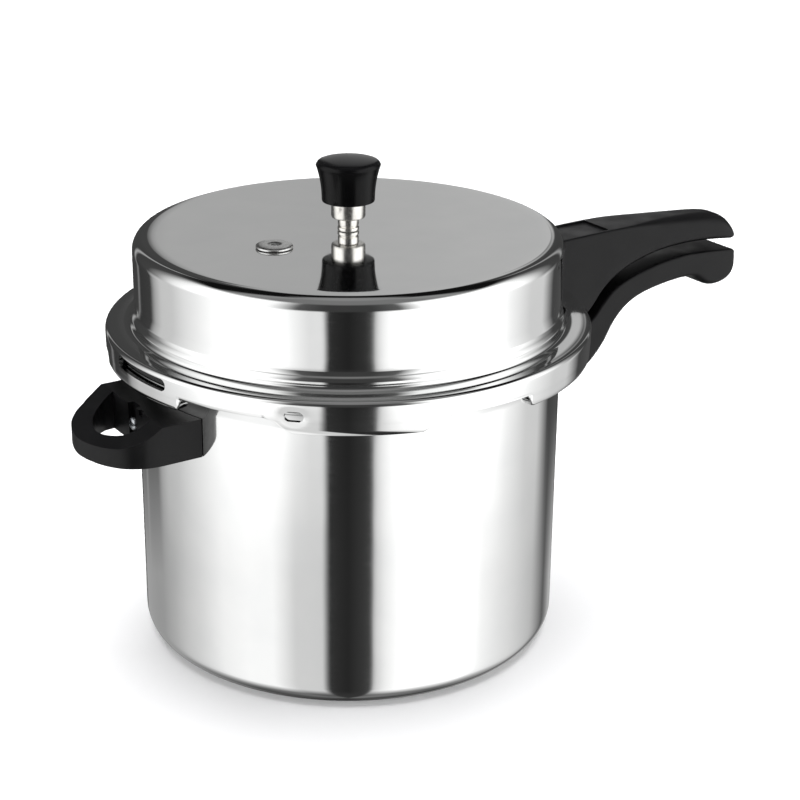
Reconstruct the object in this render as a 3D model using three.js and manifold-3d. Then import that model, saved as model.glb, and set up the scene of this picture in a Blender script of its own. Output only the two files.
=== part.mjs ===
// Outer-lid pressure cooker of about ten litres: a deep spun pot, a domed lid that
// closes over the rim with a bayonet skirt, a lift-off weight on a central vent tube,
// a fusible safety valve, a pair of long handles and a looped helper handle.
// Millimetres, +Z up. The origin is on the pot's axis, in the plane of its flat base.
// The long handles point along +X and the helper handle along -X.
import * as THREE from 'three';
import { mergeVertices } from 'three/addons/utils/BufferGeometryUtils.js';
import Module from 'manifold-3d';

const wasm = await Module();
wasm.setup();

// ---- driving dimensions ----
const GAP = 0.3; // assembly gap between pieces that touch
const TURN_STEPS = 60; // facets round the large shells
const ROUND_STEPS = 20; // facets round small bores and turned fittings
const CUT_THROUGH = 1; // how far a cutter runs past the surface it opens
const SCREW_CLEARANCE = 0.3;
const RIVET_CLEARANCE = 0.3;

const POT_RADIUS = 122;
const POT_HEIGHT = 180;
const POT_WALL = 3.2;
const POT_FLOOR = 4;
const BASE_CORNER = 12.2;
const RIM_RADIUS = 130;
const RIM_UNDERSIDE = 175;
const RIM_LUG_RADIUS = 135.3;
const RIM_LUG_UNDERSIDE = 174.5;
const RIM_LUG_HALF_ANGLE = 13;

const DOME_RADIUS = 122.2;
const DOME_TOP = 238.8;
const DOME_SHOULDER = 8;
const LID_WALL = 3;
const BEAD_RADIUS = 124.6;
const FLANGE_TOP = 189.2;
const FLANGE_UNDERSIDE = FLANGE_TOP - LID_WALL;
const SKIRT_RADIUS = 139.2;
const SKIRT_FOLD = 3;
const SKIRT_INNER = 136.4;
const SKIRT_FOOT_RADIUS = 138.8;
const LUG_FOOT = 170.5; // lower edge of the skirt at a lug
const GAP_FOOT = 177.7; // lower edge of the skirt between lugs
const TAB_RADIUS = 131.3;
const TAB_TOP = 173.6;
const SKIRT_CUT_INNER = 126; // cutters that trim the skirt start and end at these radii
const SKIRT_CUT_OUTER = 145;

// Lugs are 60 degrees apart: three carry a bayonet tab and three are plain.
const TAB_LUGS = [60, 180, 300];
const TAB_LUG_HALF_ANGLE = 18;
const PLAIN_LUG_TOP_HALF_ANGLE = 19;
const PLAIN_LUG_FOOT_HALF_ANGLE = 15.8;
const LUG_PITCH = 60;

const LID_HANDLE_HALF_WIDTH = 15;
const BODY_HANDLE_HALF_WIDTH = 13.5;
const HANDLE_BEVEL = 2;

const HELPER_HALF_WIDTH = 38;
const HELPER_FOOT = 139.5;
const HELPER_TOP = 161.5;
const HELPER_SCREW_HEIGHT = 150.5;
const HELPER_HOLE_WALL = -139; // flat side of the finger hole
const HELPER_HOLE_HALF_WIDTH = 24;
const HELPER_CREASE = -139.5; // where the loop's top starts to fall away from the block

const VALVE_DISTANCE = 53; // safety valve from the lid's centre
const VALVE_ANGLE = 188;

// ---- finishes ----
const finish = (color, roughness, metalness) => (
  () => new THREE.MeshStandardMaterial({ color, roughness, metalness }));
const polishedAluminium = finish(0xd9dcde, 0.12, 1);
const blackPhenolic = finish(0x1b1b1c, 0.42, 0);
const blackRubber = finish(0x202122, 0.8, 0);
const zincSteel = finish(0xb9bcbf, 0.3, 1);
const chromedBrass = finish(0xd5d6d6, 0.1, 1);
const fusibleAlloy = finish(0x9a9c9f, 0.45, 1);

// ---- geometry helpers ----
const pressureCooker = new THREE.Group();

// A closed geometry becomes a solid; an outline may be listed in either direction.
function solidOf(geometry) {
  const bare = geometry.clone();
  bare.deleteAttribute('normal');
  bare.deleteAttribute('uv');
  const sameCorner = 1e-4;
  const merged = mergeVertices(bare, sameCorner);
  const place = merged.attributes.position;
  const corners = merged.index.array;
  const triangles = [];
  let volume = 0;
  const a = new THREE.Vector3();
  const b = new THREE.Vector3();
  const c = new THREE.Vector3();
  for (let i = 0; i < corners.length; i += 3) {
    const [p, q, r] = [corners[i], corners[i + 1], corners[i + 2]];
    if (p === q || q === r || r === p) continue;
    triangles.push([p, q, r]);
    a.fromBufferAttribute(place, p);
    b.fromBufferAttribute(place, q);
    c.fromBufferAttribute(place, r);
    volume += a.dot(b.cross(c));
  }
  const facing = volume < 0 ? triangles.map(([p, q, r]) => [p, r, q]) : triangles;
  return new wasm.Manifold(new wasm.Mesh({
    numProp: 3,
    vertProperties: new Float32Array(place.array),
    triVerts: new Uint32Array(facing.flat()),
  }));
}

function geometryOf(solid) {
  const mesh = solid.getMesh();
  const geometry = new THREE.BufferGeometry();
  geometry.setAttribute('position', new THREE.BufferAttribute(mesh.vertProperties.slice(), 3));
  geometry.setIndex(new THREE.BufferAttribute(mesh.triVerts.slice(), 1));
  geometry.computeVertexNormals();
  return geometry;
}

function addPiece(name, solid, material) {
  const piece = new THREE.Mesh(geometryOf(solid), material);
  piece.name = name;
  pressureCooker.add(piece);
}

// Turns an outline of [radius, height] pairs about the Z axis.
function revolve(outline, steps = TURN_STEPS) {
  const points = outline.map(([radius, height]) => new THREE.Vector2(radius, height));
  if (outline[0][0] > 0) points.push(points[0].clone());
  return solidOf(new THREE.LatheGeometry(points, steps).rotateX(Math.PI / 2));
}

function arc(centreRadius, centreHeight, radius, fromDegrees, toDegrees, steps) {
  const points = [];
  for (let i = 0; i <= steps; i += 1) {
    const angle = THREE.MathUtils.degToRad(fromDegrees + ((toDegrees - fromDegrees) * i) / steps);
    points.push([centreRadius + radius * Math.cos(angle), centreHeight + radius * Math.sin(angle)]);
  }
  return points;
}

// A block that follows the shell: its outline is in [degrees, height] pairs.
function polarBlock(outline, innerRadius, outerRadius) {
  const stepDegrees = 5;
  const depth = outerRadius - innerRadius;
  const shape = new THREE.Shape();
  outline.forEach(([angle, height], i) => {
    if (i === 0) shape.moveTo(angle, height);
    const [nextAngle, nextHeight] = outline[(i + 1) % outline.length];
    const pieces = Math.max(1, Math.ceil(Math.abs(nextAngle - angle) / stepDegrees));
    for (let k = 1; k <= pieces; k += 1) {
      const part = k / pieces;
      if (i === outline.length - 1 && k === pieces) continue;
      shape.lineTo(angle + (nextAngle - angle) * part, height + (nextHeight - height) * part);
    }
  });
  const geometry = new THREE.ExtrudeGeometry(shape, { depth, bevelEnabled: false });
  const place = geometry.attributes.position;
  for (let i = 0; i < place.count; i += 1) {
    const angle = THREE.MathUtils.degToRad(place.getX(i));
    const radius = innerRadius + place.getZ(i);
    place.setXYZ(i, radius * Math.cos(angle), radius * Math.sin(angle), place.getY(i));
  }
  return solidOf(geometry);
}

// Extrudes a plan view from height foot to height top.
function planExtrusion(shape, foot, top) {
  const options = { depth: top - foot, bevelEnabled: false, curveSegments: 2 };
  const geometry = new THREE.ExtrudeGeometry(shape, options);
  return solidOf(geometry.translate(0, 0, foot));
}

// A ring sector, flat above and below.
function sector(centreAngle, halfAngle, foot, top, innerRadius, outerRadius) {
  const stepDegrees = 2.5;
  const steps = Math.max(1, Math.ceil((2 * halfAngle) / stepDegrees));
  const shape = new THREE.Shape();
  const corner = (radius, i) => {
    const angle = THREE.MathUtils.degToRad(centreAngle - halfAngle + (2 * halfAngle * i) / steps);
    return [radius * Math.cos(angle), radius * Math.sin(angle)];
  };
  shape.moveTo(...corner(outerRadius, 0));
  for (let i = 1; i <= steps; i += 1) shape.lineTo(...corner(outerRadius, i));
  for (let i = steps; i >= 0; i -= 1) shape.lineTo(...corner(innerRadius, i));
  return planExtrusion(shape, foot, top);
}

// A round-ended window through the skirt.
function skirtWindow(centreAngle, halfAngle, foot, top) {
  const endSteps = 6;
  const endRadius = (top - foot) / 2;
  const middle = (top + foot) / 2;
  const degreesPerMm = 180 / Math.PI / SKIRT_RADIUS;
  const straight = halfAngle - endRadius * degreesPerMm;
  const outline = [];
  for (const side of [1, -1]) {
    for (let i = 0; i <= endSteps; i += 1) {
      const swing = (Math.PI * i) / endSteps - Math.PI / 2;
      outline.push([
        centreAngle + side * (straight + endRadius * Math.cos(swing) * degreesPerMm),
        middle + side * endRadius * Math.sin(swing),
      ]);
    }
  }
  return polarBlock(outline, TAB_RADIUS, SKIRT_RADIUS + 3);
}

// A round bar along Z, from height foot to height top.
function rod(radius, foot, top, steps = 24) {
  return revolve([[0, foot], [radius, foot], [radius, top], [0, top]], steps);
}

function block(fromCorner, toCorner) {
  const size = toCorner.map((value, i) => value - fromCorner[i]);
  return solidOf(new THREE.BoxGeometry(...size)).translate(
    toCorner.map((value, i) => (value + fromCorner[i]) / 2));
}

// Extrudes a side view, drawn in [x, height], across the handle's width.
function sideExtrusion(shape, halfWidth, bevel) {
  const geometry = new THREE.ExtrudeGeometry(shape, {
    depth: 2 * (halfWidth - bevel),
    bevelEnabled: bevel > 0,
    bevelThickness: bevel,
    bevelSize: bevel,
    bevelOffset: -bevel,
    bevelSegments: 1,
    curveSegments: 2,
  });
  return solidOf(geometry.rotateX(Math.PI / 2).translate(0, halfWidth - bevel, 0));
}

const vectors = (pairs) => pairs.map(([x, y]) => new THREE.Vector2(x, y));

// Six-sided nut with a clearance hole, centred on the Z axis.
function hexNut(acrossCorners, holeRadius, foot, top) {
  return rod(acrossCorners / 2, foot, top, 6)
    .subtract(rod(holeRadius, foot - CUT_THROUGH, top + CUT_THROUGH));
}

function washer(holeRadius, outerRadius, foot, top) {
  return revolve([
    [holeRadius, foot], [outerRadius, foot], [outerRadius, top], [holeRadius, top],
  ], ROUND_STEPS);
}

// Rivet along +X: an inner head, a shank through the wall, and an outer head.
function rivet({ innerFace, outerFace, shankRadius, headRadius, headHeight }) {
  const steps = 12;
  const start = innerFace - GAP;
  const end = outerFace + GAP;
  const crown = headRadius * 0.7;
  return revolve([
    [0, start - headHeight], [crown, start - headHeight], [headRadius, start],
    [shankRadius, start], [shankRadius, end], [headRadius, end],
    [crown, end + headHeight], [0, end + headHeight],
  ], steps).rotate([0, 90, 0]);
}

// Pan-head screw along +Z, its head at the low end.
function screw({ headFoot, tip, shankRadius, headRadius, headHeight }) {
  const steps = 12;
  const body = revolve([
    [0, headFoot], [headRadius * 0.75, headFoot], [headRadius, headFoot + headHeight * 0.5],
    [headRadius, headFoot + headHeight], [shankRadius, headFoot + headHeight],
    [shankRadius, tip - 1], [shankRadius * 0.5, tip], [0, tip],
  ], steps);
  const slotHalf = 0.5;
  const slotDepth = headHeight * 0.4;
  const reach = headRadius * 0.7;
  const low = headFoot - CUT_THROUGH;
  const high = headFoot + slotDepth;
  const cross = block([-reach, -slotHalf, low], [reach, slotHalf, high])
    .add(block([-slotHalf, -reach, low], [slotHalf, reach, high]));
  return body.subtract(cross);
}

// ---- pot ----
const BODY_RIVET_HEIGHTS = [125.5, 144.5];
const BODY_RIVET = {
  innerFace: POT_RADIUS - POT_WALL, outerFace: 125.3, shankRadius: 2, headRadius: 4, headHeight: 1.6,
};
const HELPER_RIVET_ANGLES = [175, 185];
const HELPER_RIVET = {
  innerFace: POT_RADIUS - POT_WALL, outerFace: 124.8, shankRadius: 1.8, headRadius: 3.2, headHeight: 1.5,
};

function rivetHole(spec, angle, height) {
  const reach = 4;
  const steps = 16;
  return rod(spec.shankRadius + RIVET_CLEARANCE, spec.innerFace - reach, spec.outerFace + reach, steps)
    .rotate([0, 90, angle]).translate([0, 0, height]);
}

function makePot() {
  const innerRadius = POT_RADIUS - POT_WALL;
  const innerCorner = BASE_CORNER - POT_WALL;
  let pot = revolve([
    [0, 0],
    ...arc(POT_RADIUS - BASE_CORNER, BASE_CORNER, BASE_CORNER, -90, 0, 5),
    [POT_RADIUS, RIM_UNDERSIDE], [RIM_RADIUS - 1, RIM_UNDERSIDE + 1.4],
    [RIM_RADIUS, RIM_UNDERSIDE + 2.4], [RIM_RADIUS, POT_HEIGHT],
    [innerRadius + 1, POT_HEIGHT], [innerRadius, POT_HEIGHT - 1],
    ...arc(innerRadius - innerCorner, POT_FLOOR + innerCorner, innerCorner, 0, -90, 3),
    [0, POT_FLOOR],
  ]);
  const lugRoot = RIM_RADIUS - 1.5;
  for (const angle of TAB_LUGS) {
    pot = pot.add(sector(
      angle, RIM_LUG_HALF_ANGLE, RIM_LUG_UNDERSIDE, POT_HEIGHT, lugRoot, RIM_LUG_RADIUS));
  }
  for (const height of BODY_RIVET_HEIGHTS) pot = pot.subtract(rivetHole(BODY_RIVET, 0, height));
  for (const angle of HELPER_RIVET_ANGLES) {
    pot = pot.subtract(rivetHole(HELPER_RIVET, angle, HELPER_SCREW_HEIGHT));
  }
  addPiece('pot_body', pot, polishedAluminium());
}

// ---- long handle on the pot ----
const BODY_TONGUE = { length: 160, halfWidth: 8, foot: 132, top: 138 };
const BODY_PAD = { halfAngle: 6, foot: 119, top: 151 };
const BODY_SCREW_X = 147;
const BODY_HANDLE_ROOT = POT_RADIUS + 0.4;
const BODY_HANDLE_FOOT = 117;
const BODY_HANDLE_ROOT_TOP = 150.5;
const BODY_SCREW = { headFoot: 121, tip: 140.5, shankRadius: 2, headRadius: 4, headHeight: 2.6 };

function bodyHandleShape() {
  const shape = new THREE.Shape();
  shape.moveTo(BODY_HANDLE_ROOT, BODY_HANDLE_FOOT);
  shape.splineThru(vectors([[145, 118], [158, 121.5], [170, 128], [178.4, 135.5], [186, 147.5],
    [196.6, 158.8], [211, 166.4], [227, 169.6], [244, 171.2], [253.5, 170.8]]));
  shape.splineThru(vectors([[258, 168.4], [263, 164.6], [269.5, 162.6], [276, 162.8], [281.5, 164.2],
    [285, 168.2], [286.8, 176.5], [287, 182]]));
  shape.lineTo(284.6, 184.9);
  shape.splineThru(vectors([[262, 186.6], [243, 187.2], [222, 185], [201, 180], [187, 174],
    [178.5, 166.4], [171.5, 158.6], [163, 152.6], [152, BODY_HANDLE_ROOT_TOP]]));
  shape.lineTo(BODY_HANDLE_ROOT, BODY_HANDLE_ROOT_TOP);
  return shape;
}

function makeBodyHandle() {
  const { length, halfWidth, foot, top } = BODY_TONGUE;
  const insideHandle = BODY_HANDLE_FOOT - 7;
  const tongueRoot = BODY_RIVET.outerFace - 0.8;
  const holeRadius = BODY_SCREW.shankRadius + SCREW_CLEARANCE;
  const shankHole = rod(holeRadius, insideHandle, BODY_SCREW.tip + 0.5, ROUND_STEPS)
    .translate([BODY_SCREW_X, 0, 0]);
  let bracket = sector(
    0, BODY_PAD.halfAngle, BODY_PAD.foot, BODY_PAD.top, POT_RADIUS + GAP, BODY_RIVET.outerFace)
    .add(block([tongueRoot, -halfWidth, foot], [length, halfWidth, top]))
    .subtract(shankHole);
  for (const height of BODY_RIVET_HEIGHTS) bracket = bracket.subtract(rivetHole(BODY_RIVET, 0, height));
  addPiece('body_handle_bracket', bracket, zincSteel());

  BODY_RIVET_HEIGHTS.forEach((height, i) => {
    const placed = rivet(BODY_RIVET).translate([0, 0, height]);
    addPiece(`body_bracket_rivet_${i + 1}`, placed, polishedAluminium());
  });

  // The handle's root is hollowed for the pad, and deeper behind the rivet heads.
  const padDepth = BODY_RIVET.outerFace + GAP + 0.1;
  const headDepth = BODY_RIVET.outerFace + GAP + BODY_RIVET.headHeight + 0.9;
  const padPocket = sector(0, 6.3, 118.6, 151.4, POT_RADIUS - 2, padDepth);
  const headPocket = sector(0, 4.9, 117.9, 149, POT_RADIUS - 2, headDepth);
  const tonguePocket = block([POT_RADIUS, -halfWidth - GAP, foot - GAP],
    [length + GAP, halfWidth + GAP, top + GAP]);
  const counterboreTop = BODY_SCREW.headFoot + BODY_SCREW.headHeight + GAP;
  const counterbore = rod(BODY_SCREW.headRadius + 0.5, insideHandle, counterboreTop)
    .translate([BODY_SCREW_X, 0, 0]);
  const handle = sideExtrusion(bodyHandleShape(), BODY_HANDLE_HALF_WIDTH, HANDLE_BEVEL)
    .subtract(headPocket)
    .subtract(padPocket)
    .subtract(tonguePocket)
    .subtract(shankHole)
    .subtract(counterbore);
  addPiece('body_handle', handle, blackPhenolic());
  addPiece('body_handle_screw', screw(BODY_SCREW).translate([BODY_SCREW_X, 0, 0]), zincSteel());
}

// ---- looped helper handle ----
function helperOutline() {
  const root = -100; // inside the pot's wall, which trims it
  const shape = new THREE.Shape();
  shape.moveTo(root, -HELPER_HALF_WIDTH);
  shape.lineTo(root, HELPER_HALF_WIDTH);
  shape.lineTo(-141, HELPER_HALF_WIDTH);
  shape.splineThru(vectors([[-151, 36], [-160, 30.5], [-168, 18], [-171.5, 0],
    [-168, -18], [-160, -30.5], [-151, -36], [-141, -HELPER_HALF_WIDTH]]));
  return shape;
}

function fingerHoleOutline() {
  const shape = new THREE.Shape();
  shape.moveTo(HELPER_HOLE_WALL, -HELPER_HOLE_HALF_WIDTH);
  shape.lineTo(HELPER_HOLE_WALL, HELPER_HOLE_HALF_WIDTH);
  shape.splineThru(vectors([[-146, 23], [-153, 18.5], [-158.5, 10], [-160.5, 0],
    [-158.5, -10], [-153, -18.5], [-146, -23], [HELPER_HOLE_WALL, -HELPER_HOLE_HALF_WIDTH]]));
  return shape;
}

// The loop gets thinner from the block towards the nose.
function helperTopCut() {
  const beyondNose = -175;
  const above = HELPER_TOP + 5;
  const shape = new THREE.Shape();
  shape.moveTo(HELPER_CREASE, HELPER_TOP);
  shape.splineThru(vectors([[-146, 157.2], [-153, 153.4], [-161, 150.6], [beyondNose, 148.6]]));
  shape.lineTo(beyondNose, above);
  shape.lineTo(HELPER_CREASE, above);
  return sideExtrusion(shape, HELPER_HALF_WIDTH + 4, 0);
}

const HELPER_SCREW = { headFoot: 0, tip: 13.2, shankRadius: 1.7, headRadius: 3.8, headHeight: 2.4 };
const HELPER_SCREW_FACE = 140.2; // distance of the screw head's outer face from the pot's axis
const HELPER_BOSS = { radius: 5, end: 131.5 };
const HELPER_PAD = { halfAngle: 7, foot: 142, top: 158.5 };

function makeHelperHandle() {
  const atScrew = (solid) => solid.rotate([0, 90, 0]).translate([0, 0, HELPER_SCREW_HEIGHT]);
  const shankHole = atScrew(rod(HELPER_SCREW.shankRadius + SCREW_CLEARANCE, -142, -126, ROUND_STEPS));
  const boss = atScrew(rod(HELPER_BOSS.radius, -HELPER_BOSS.end, -HELPER_RIVET.outerFace + 0.6));
  let bracket = sector(180, HELPER_PAD.halfAngle, HELPER_PAD.foot, HELPER_PAD.top,
    POT_RADIUS + GAP, HELPER_RIVET.outerFace)
    .add(boss)
    .subtract(shankHole);
  for (const angle of HELPER_RIVET_ANGLES) {
    bracket = bracket.subtract(rivetHole(HELPER_RIVET, angle, HELPER_SCREW_HEIGHT));
  }
  addPiece('helper_handle_bracket', bracket, zincSteel());

  HELPER_RIVET_ANGLES.forEach((angle, i) => {
    const placed = rivet(HELPER_RIVET).rotate([0, 0, angle]).translate([0, 0, HELPER_SCREW_HEIGHT]);
    addPiece(`helper_bracket_rivet_${i + 1}`, placed, polishedAluminium());
  });

  // The block is hollowed for the pad, the boss and, in the finger hole, the screw's head.
  const low = HELPER_FOOT - CUT_THROUGH;
  const high = HELPER_TOP + CUT_THROUGH;
  const padPocket = sector(180, 7.4, 141.6, 158.9, POT_RADIUS - 4, HELPER_RIVET.outerFace + 2.5);
  const bossPocket = atScrew(rod(HELPER_BOSS.radius + 0.4, -HELPER_BOSS.end - 0.4, -POT_RADIUS));
  const headRecess = block([HELPER_HOLE_WALL - 4, -5, HELPER_FOOT + 4], [HELPER_HOLE_WALL + 1.5, 5, high]);
  const handle = planExtrusion(helperOutline(), HELPER_FOOT, HELPER_TOP)
    .subtract(helperTopCut())
    .subtract(planExtrusion(fingerHoleOutline(), low, high))
    .subtract(rod(POT_RADIUS + 0.4, low, high, TURN_STEPS))
    .subtract(padPocket)
    .subtract(bossPocket)
    .subtract(shankHole)
    .subtract(headRecess);
  addPiece('helper_handle', handle, blackPhenolic());
  const placedScrew = screw(HELPER_SCREW).rotate([0, 90, 0])
    .translate([-HELPER_SCREW_FACE, 0, HELPER_SCREW_HEIGHT]);
  addPiece('helper_handle_screw', placedScrew, zincSteel());
}

// ---- gasket ----
const GASKET_BORE = 121;
const GASKET_RADIUS = 134.8;
const GASKET_GROOVE_RADIUS = 129;
const GASKET_LIP = { edge: 1.7, root: 2.2 };

function makeGasket() {
  const foot = POT_HEIGHT + GAP;
  const top = FLANGE_UNDERSIDE - GAP;
  const steps = 48;
  addPiece('sealing_gasket', revolve([
    [GASKET_BORE, foot], [GASKET_RADIUS, foot], [GASKET_RADIUS, top], [GASKET_BORE, top],
    [GASKET_BORE, top - GASKET_LIP.edge], [GASKET_GROOVE_RADIUS, top - GASKET_LIP.root],
    [GASKET_GROOVE_RADIUS, foot + GASKET_LIP.root], [GASKET_BORE, foot + GASKET_LIP.edge],
  ], steps), blackRubber());
}

// ---- lid ----
const LID_RIVET = {
  innerFace: 136.1, outerFace: 142.5, shankRadius: 1.4, headRadius: 2.4, headHeight: 1.3,
};
const LID_RIVET_ANGLES = [-3, 3];
const LID_RIVET_HEIGHT = 173.3;
const VENT_SHANK_RADIUS = 3;
const VALVE_SHANK_RADIUS = 5;
const VENT_WINDOW = { angle: 183.7, halfAngle: 10.2, foot: 179, top: FLANGE_UNDERSIDE };
const FRONT_SLOT = { angle: 226.4, halfAngle: 2.15, foot: 177, top: 182.5 };

function atValve(solid) {
  const angle = THREE.MathUtils.degToRad(VALVE_ANGLE);
  return solid.translate([VALVE_DISTANCE * Math.cos(angle), VALVE_DISTANCE * Math.sin(angle), 0]);
}

function lidProfile() {
  const shoulderCentre = DOME_RADIUS - DOME_SHOULDER;
  return [
    [0, DOME_TOP],
    ...arc(shoulderCentre, DOME_TOP - DOME_SHOULDER, DOME_SHOULDER, 90, 0, 4),
    [DOME_RADIUS, 198], [BEAD_RADIUS - 0.7, 196.2], [BEAD_RADIUS, 194.8], [BEAD_RADIUS, 191.6],
    [126.4, 189.4], [131.6, 189.8], [132.6, FLANGE_TOP],
    ...arc(SKIRT_RADIUS - SKIRT_FOLD, FLANGE_TOP - SKIRT_FOLD, SKIRT_FOLD, 90, 0, 2),
    [SKIRT_FOOT_RADIUS, LUG_FOOT], [TAB_RADIUS, LUG_FOOT], [TAB_RADIUS, TAB_TOP],
    [SKIRT_INNER - 0.2, TAB_TOP], [SKIRT_INNER, FLANGE_UNDERSIDE],
    [BEAD_RADIUS - LID_WALL, FLANGE_UNDERSIDE], [BEAD_RADIUS - LID_WALL, 194],
    [DOME_RADIUS - LID_WALL, 196.6],
    ...arc(shoulderCentre, DOME_TOP - DOME_SHOULDER, DOME_SHOULDER - LID_WALL, 0, 90, 3),
    [0, DOME_TOP - LID_WALL],
  ];
}

// Cuts the skirt back between a tab lug and the plain lug beside it.
function skirtGap(tabLugAngle, side) {
  const below = LUG_FOOT - 2.5;
  const slope = (PLAIN_LUG_TOP_HALF_ANGLE - PLAIN_LUG_FOOT_HALF_ANGLE) / (GAP_FOOT - LUG_FOOT);
  const lowEdge = LUG_PITCH - PLAIN_LUG_TOP_HALF_ANGLE + slope * (GAP_FOOT - below);
  return polarBlock([
    [tabLugAngle + side * TAB_LUG_HALF_ANGLE, below],
    [tabLugAngle + side * lowEdge, below],
    [tabLugAngle + side * (LUG_PITCH - PLAIN_LUG_TOP_HALF_ANGLE), GAP_FOOT],
    [tabLugAngle + side * TAB_LUG_HALF_ANGLE, GAP_FOOT],
  ], SKIRT_CUT_INNER, SKIRT_CUT_OUTER);
}

function makeLidShell() {
  const clearedHalfAngle = LUG_PITCH - TAB_LUG_HALF_ANGLE;
  const clearedRadius = SKIRT_INNER - 0.15;
  const belowTop = DOME_TOP - 10;
  const aboveTop = DOME_TOP + 5;
  let lid = revolve(lidProfile());
  for (const angle of TAB_LUGS) {
    const noTab = sector(
      angle + LUG_PITCH, clearedHalfAngle, LUG_FOOT - 2, TAB_TOP + 1, SKIRT_CUT_INNER, clearedRadius);
    lid = lid.subtract(skirtGap(angle, 1)).subtract(skirtGap(angle, -1)).subtract(noTab);
  }
  for (const window of [VENT_WINDOW, FRONT_SLOT]) {
    lid = lid.subtract(skirtWindow(window.angle, window.halfAngle, window.foot, window.top));
  }
  lid = lid
    .subtract(rod(VENT_SHANK_RADIUS + GAP, belowTop, aboveTop))
    .subtract(atValve(rod(VALVE_SHANK_RADIUS + GAP, belowTop, aboveTop)));
  for (const angle of LID_RIVET_ANGLES) {
    lid = lid.subtract(rivetHole(LID_RIVET, angle, LID_RIVET_HEIGHT));
  }
  addPiece('lid_shell', lid, polishedAluminium());
}

// ---- long handle on the lid ----
const LID_TONGUE = { length: 172, halfWidth: 8, foot: 176.2, top: 181.2 };
const LID_HANDLE_SKIRT_FACE = 140.1;
const LID_HANDLE_FOOT = 157;
const LID_PAD = { halfAngle: 5.2, foot: 170.7, top: 186 };
const LID_SCREW_X = 157;
const LID_SCREW = { headFoot: 160.5, tip: 183.5, shankRadius: 2, headRadius: 4, headHeight: 2.6 };

function lidHandleShape() {
  const noseFace = 125.9;
  const flangeClearance = FLANGE_TOP + 1.1;
  const heel = 154;
  const shape = new THREE.Shape();
  shape.moveTo(noseFace, flangeClearance);
  shape.lineTo(LID_HANDLE_SKIRT_FACE, flangeClearance);
  shape.lineTo(LID_HANDLE_SKIRT_FACE, LID_HANDLE_FOOT);
  shape.lineTo(heel, LID_HANDLE_FOOT);
  shape.splineThru(vectors([[162, 159.6], [169, 165.5], [176.5, 174], [187, 181.8], [201, 187.6],
    [221, 192.4], [242, 194.1], [262, 193.6]]));
  shape.lineTo(283.6, 192);
  shape.splineThru(vectors([[285.6, 193.4], [285, 198.6], [281.5, 204.6], [274, 208.8]]));
  shape.splineThru(vectors([[262, 210.6], [232, 212.6], [195, 213.7], [160, 213.3], [133, 212.2]]));
  shape.splineThru(vectors([[128, 210.6], [noseFace, 206]]));
  return shape;
}

function makeLidHandle() {
  const { length, halfWidth, foot, top } = LID_TONGUE;
  const insideHandle = LID_HANDLE_FOOT - 7;
  const tongueRoot = LID_RIVET.outerFace - 0.8;
  const holeRadius = LID_SCREW.shankRadius + SCREW_CLEARANCE;
  const shankHole = rod(holeRadius, insideHandle, LID_SCREW.tip + 0.5, ROUND_STEPS)
    .translate([LID_SCREW_X, 0, 0]);
  let bracket = sector(
    0, LID_PAD.halfAngle, LID_PAD.foot, LID_PAD.top, SKIRT_RADIUS + GAP, LID_RIVET.outerFace)
    .add(block([tongueRoot, -halfWidth, foot], [length, halfWidth, top]))
    .subtract(shankHole);
  for (const angle of LID_RIVET_ANGLES) {
    bracket = bracket.subtract(rivetHole(LID_RIVET, angle, LID_RIVET_HEIGHT));
  }
  addPiece('lid_handle_bracket', bracket, zincSteel());

  LID_RIVET_ANGLES.forEach((angle, i) => {
    const placed = rivet(LID_RIVET).rotate([0, 0, angle]).translate([0, 0, LID_RIVET_HEIGHT]);
    addPiece(`lid_bracket_rivet_${i + 1}`, placed, polishedAluminium());
  });

  // The root is hollowed for the pad, and deeper behind the rivet heads.
  const padDepth = LID_RIVET.outerFace + GAP + 0.1;
  const headDepth = LID_RIVET.outerFace + GAP + LID_RIVET.headHeight + 0.4;
  const padPocket = sector(0, 5.45, 170.2, 186.4, SKIRT_RADIUS - 1, padDepth);
  const headPocket = sector(0, 4.4, 170.2, 176.3, SKIRT_RADIUS - 1, headDepth);
  const tonguePocket = block([SKIRT_RADIUS, -halfWidth - GAP, foot - GAP],
    [length + GAP, halfWidth + GAP, top + GAP]);
  const counterboreTop = LID_SCREW.headFoot + LID_SCREW.headHeight + GAP;
  const counterbore = rod(LID_SCREW.headRadius + 0.5, insideHandle, counterboreTop)
    .translate([LID_SCREW_X, 0, 0]);
  const handle = sideExtrusion(lidHandleShape(), LID_HANDLE_HALF_WIDTH, HANDLE_BEVEL)
    .subtract(padPocket)
    .subtract(headPocket)
    .subtract(tonguePocket)
    .subtract(shankHole)
    .subtract(counterbore);
  addPiece('lid_handle', handle, blackPhenolic());
  addPiece('lid_handle_screw', screw(LID_SCREW).translate([LID_SCREW_X, 0, 0]), zincSteel());
}

// ---- vent tube and weight ----
const STEM_RADIUS = 5.7;
const STEM_TOP = DOME_TOP + 7.4;
const TUBE_TOP = DOME_TOP + 16.5;
const TUBE_RADIUS = 4;
const TUBE_BORE = 1.6;
const WEIGHT_FOOT = STEM_TOP + GAP;
const COLLAR_RADIUS = 9.7;
const COLLAR_TOP = DOME_TOP + 16.9;
const WEIGHT_SHANK_RADIUS = 7;
const WEIGHT_SHANK_TOP = DOME_TOP + 32.2;
const SHANK_FOOT = 228; // lower end of the vent tube's threaded shank
const NUT_HEIGHT = 4.5;
const VENT_WASHER = { radius: 7, thickness: 1.2 };
const VENT_NUT_ACROSS_CORNERS = 12.7;

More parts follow.
